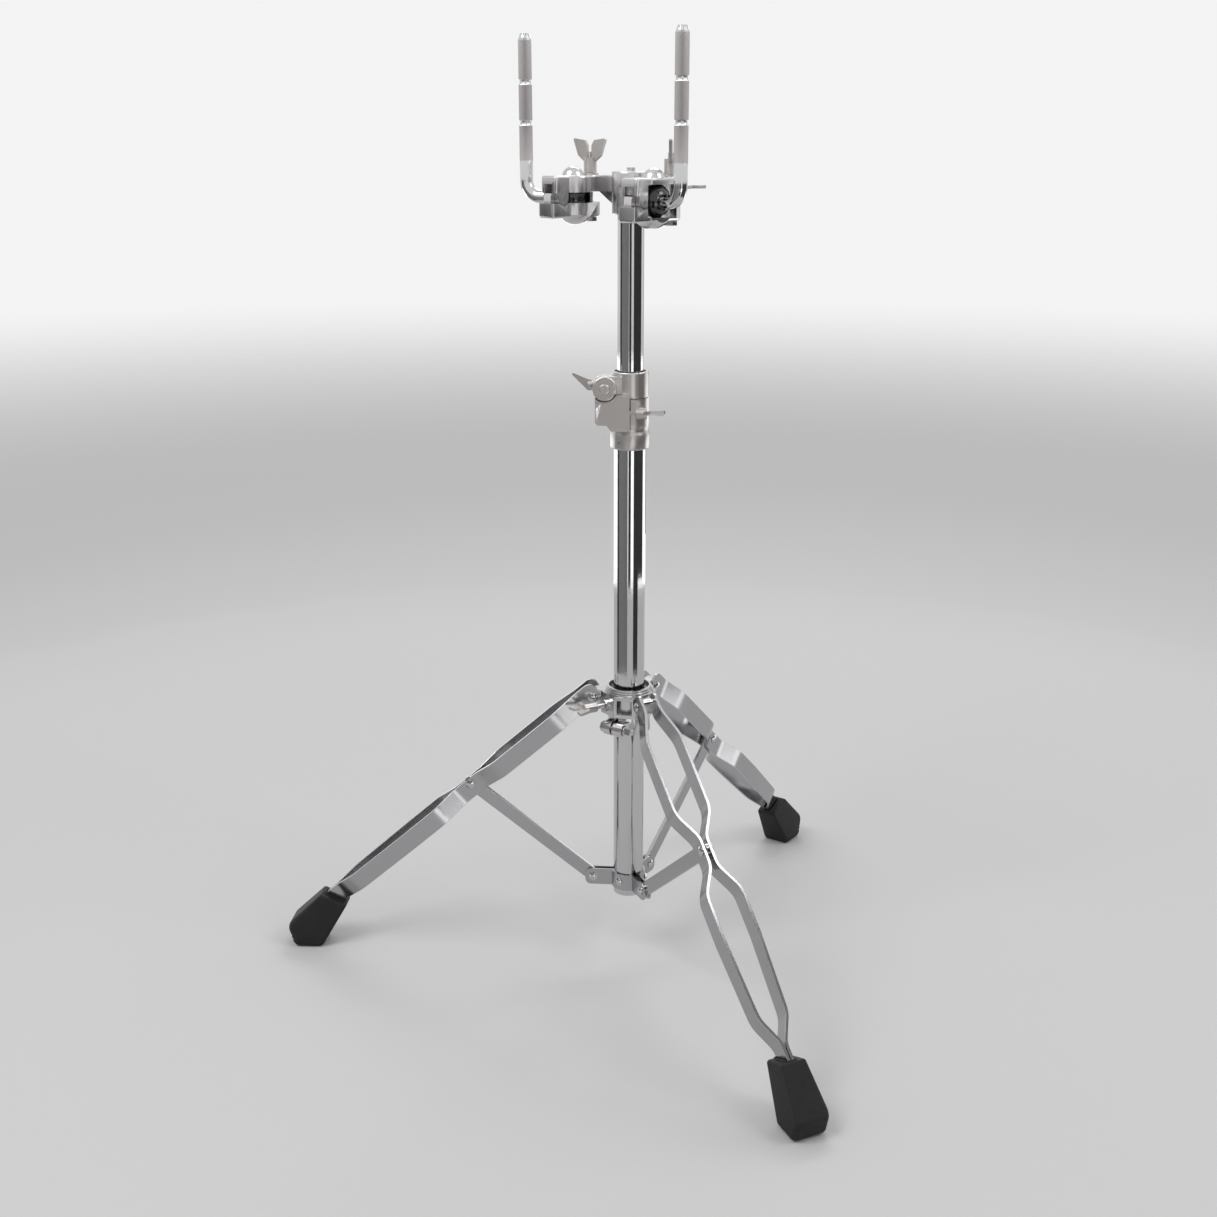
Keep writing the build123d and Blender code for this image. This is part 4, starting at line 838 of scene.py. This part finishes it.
def floor(reach, solid):
    """Pale disc that fades into the backdrop beyond the radius where it is solid."""
    finish = Finish("floor", (0.58, 0.58, 0.58), 0.0, 0.9)
    spot = finish.place()
    radius = finish.add("ShaderNodeVectorMath", {"operation": "LENGTH"}, {0: spot}, output=1)
    fade = finish.add(
        "ShaderNodeMapRange", {"interpolation_type": "SMOOTHSTEP"},
        {"Value": radius, "From Min": solid, "From Max": reach},
    )
    clear = finish.tree.nodes.new("ShaderNodeBsdfTransparent")
    mix = finish.tree.nodes.new("ShaderNodeMixShader")
    finish.tree.links.new(fade.socket, mix.inputs[0])
    finish.tree.links.new(finish.shader.outputs[0], mix.inputs[1])
    finish.tree.links.new(clear.outputs[0], mix.inputs[2])
    finish.tree.links.new(mix.outputs[0], finish.tree.nodes["Material Output"].inputs["Surface"])
    around = 64
    turn = np.linspace(0, 2 * math.pi, around, endpoint=False)
    level = np.full(around, FLOOR_LEVEL)
    rim = np.column_stack([reach * np.cos(turn), reach * np.sin(turn), level])
    middle = np.array([[0.0, 0.0, FLOOR_LEVEL]])
    step = np.arange(around)
    faces = np.stack([step, (step + 1) % around, np.full(around, around)], -1)
    stage_piece("floor", np.vstack([rim, middle]), faces, finish.material)


floor(FLOOR_REACH, FLOOR_SOLID)
black_card = Finish("black card", (0.035, 0.035, 0.035), 0.0, 0.9).material
grey_card = Finish("grey card", (0.3, 0.3, 0.3), 0.0, 0.9).material
# each card's start and end in degrees, and the height of its lower edge
for number, (start, end, bottom, material) in enumerate((
    (-100, -82, 0.12, black_card),
    (-82, -14, 0.12, grey_card),
    (-10, 8, 0.25, black_card),
    (28, 64, 0.12, black_card),
    (64, 108, 0.26, black_card),
    (150, 172, 0.32, black_card),
)):
    card(f"card_{number}", start, end, CARD_RADIUS, bottom, CARD_TOP, material)
white_card = Finish("white card", (0.9, 0.9, 0.9), 0.0, 0.9)
white_card.shader.inputs["Emission Color"].default_value = (1, 1, 1, 1)
white_card.shader.inputs["Emission Strength"].default_value = 1.2
card("ring_card", -180, 180, RING_RADIUS, 0.0, RING_TOP, white_card.material)


def lamp(name, place, target, size, power):
    """Soft rectangular light aimed at the target."""
    data = bpy.data.lights.new(name, "AREA")
    data.shape = "RECTANGLE"
    data.size, data.size_y = size
    data.energy = power
    light = bpy.data.objects.new(name, data)
    direction = np.array(place, float) - np.array(target, float)
    yaw = math.atan2(direction[1], direction[0]) + math.pi / 2
    pitch = math.atan2(math.hypot(direction[0], direction[1]), direction[2])
    light.location = place
    light.rotation_euler = (pitch, 0, yaw)
    bpy.context.scene.collection.objects.link(light)


# names, places, targets, sizes in metres and powers in watts
lamp("key", (-1.3, -1.2, 2.6), (0, 0, 0.45), (1.2, 1.2), 30)
lamp("fill", (1.8, -0.6, 2.2), (0, 0, 0.5), (1.0, 1.0), 14)
lamp("rim", (0.2, 1.8, 2.4), (0, 0, 0.5), (1.6, 0.8), 16)

# the camera, mirrors and glass see a white room; the rest of its light is dimmer
world = bpy.data.worlds.new("studio")
bpy.context.scene.world = world
world.use_nodes = True
nodes, links = world.node_tree.nodes, world.node_tree.links
background = nodes["Background"]
background.inputs["Color"].default_value = (0.9, 0.9, 0.9, 1)
path = nodes.new("ShaderNodeLightPath")
direct = nodes.new("ShaderNodeMath")
direct.operation = "MAXIMUM"
links.new(path.outputs["Is Camera Ray"], direct.inputs[0])
links.new(path.outputs["Is Glossy Ray"], direct.inputs[1])
seen = nodes.new("ShaderNodeMath")
seen.operation = "MAXIMUM"
links.new(direct.outputs[0], seen.inputs[0])
links.new(path.outputs["Is Transmission Ray"], seen.inputs[1])
strength = nodes.new("ShaderNodeMapRange")
strength.inputs["To Min"].default_value = 0.6
strength.inputs["To Max"].default_value = 1.0
links.new(seen.outputs[0], strength.inputs["Value"])
links.new(strength.outputs[0], background.inputs["Strength"])

LENS = 46.08
LOOK_DOWN = 17.14
LOOK_LEFT = 4.4
camera_data = bpy.data.cameras.new("camera")
camera_data.sensor_width = 36.0
camera_data.lens = LENS
camera = bpy.data.objects.new("camera", camera_data)
camera.location = (0.0956, -1.5195, 0.8633)
camera.rotation_euler = (math.radians(90 - LOOK_DOWN), 0, math.radians(LOOK_LEFT))
bpy.context.scene.collection.objects.link(camera)
bpy.context.scene.camera = camera
bpy.context.scene.view_settings.view_transform = "Standard"
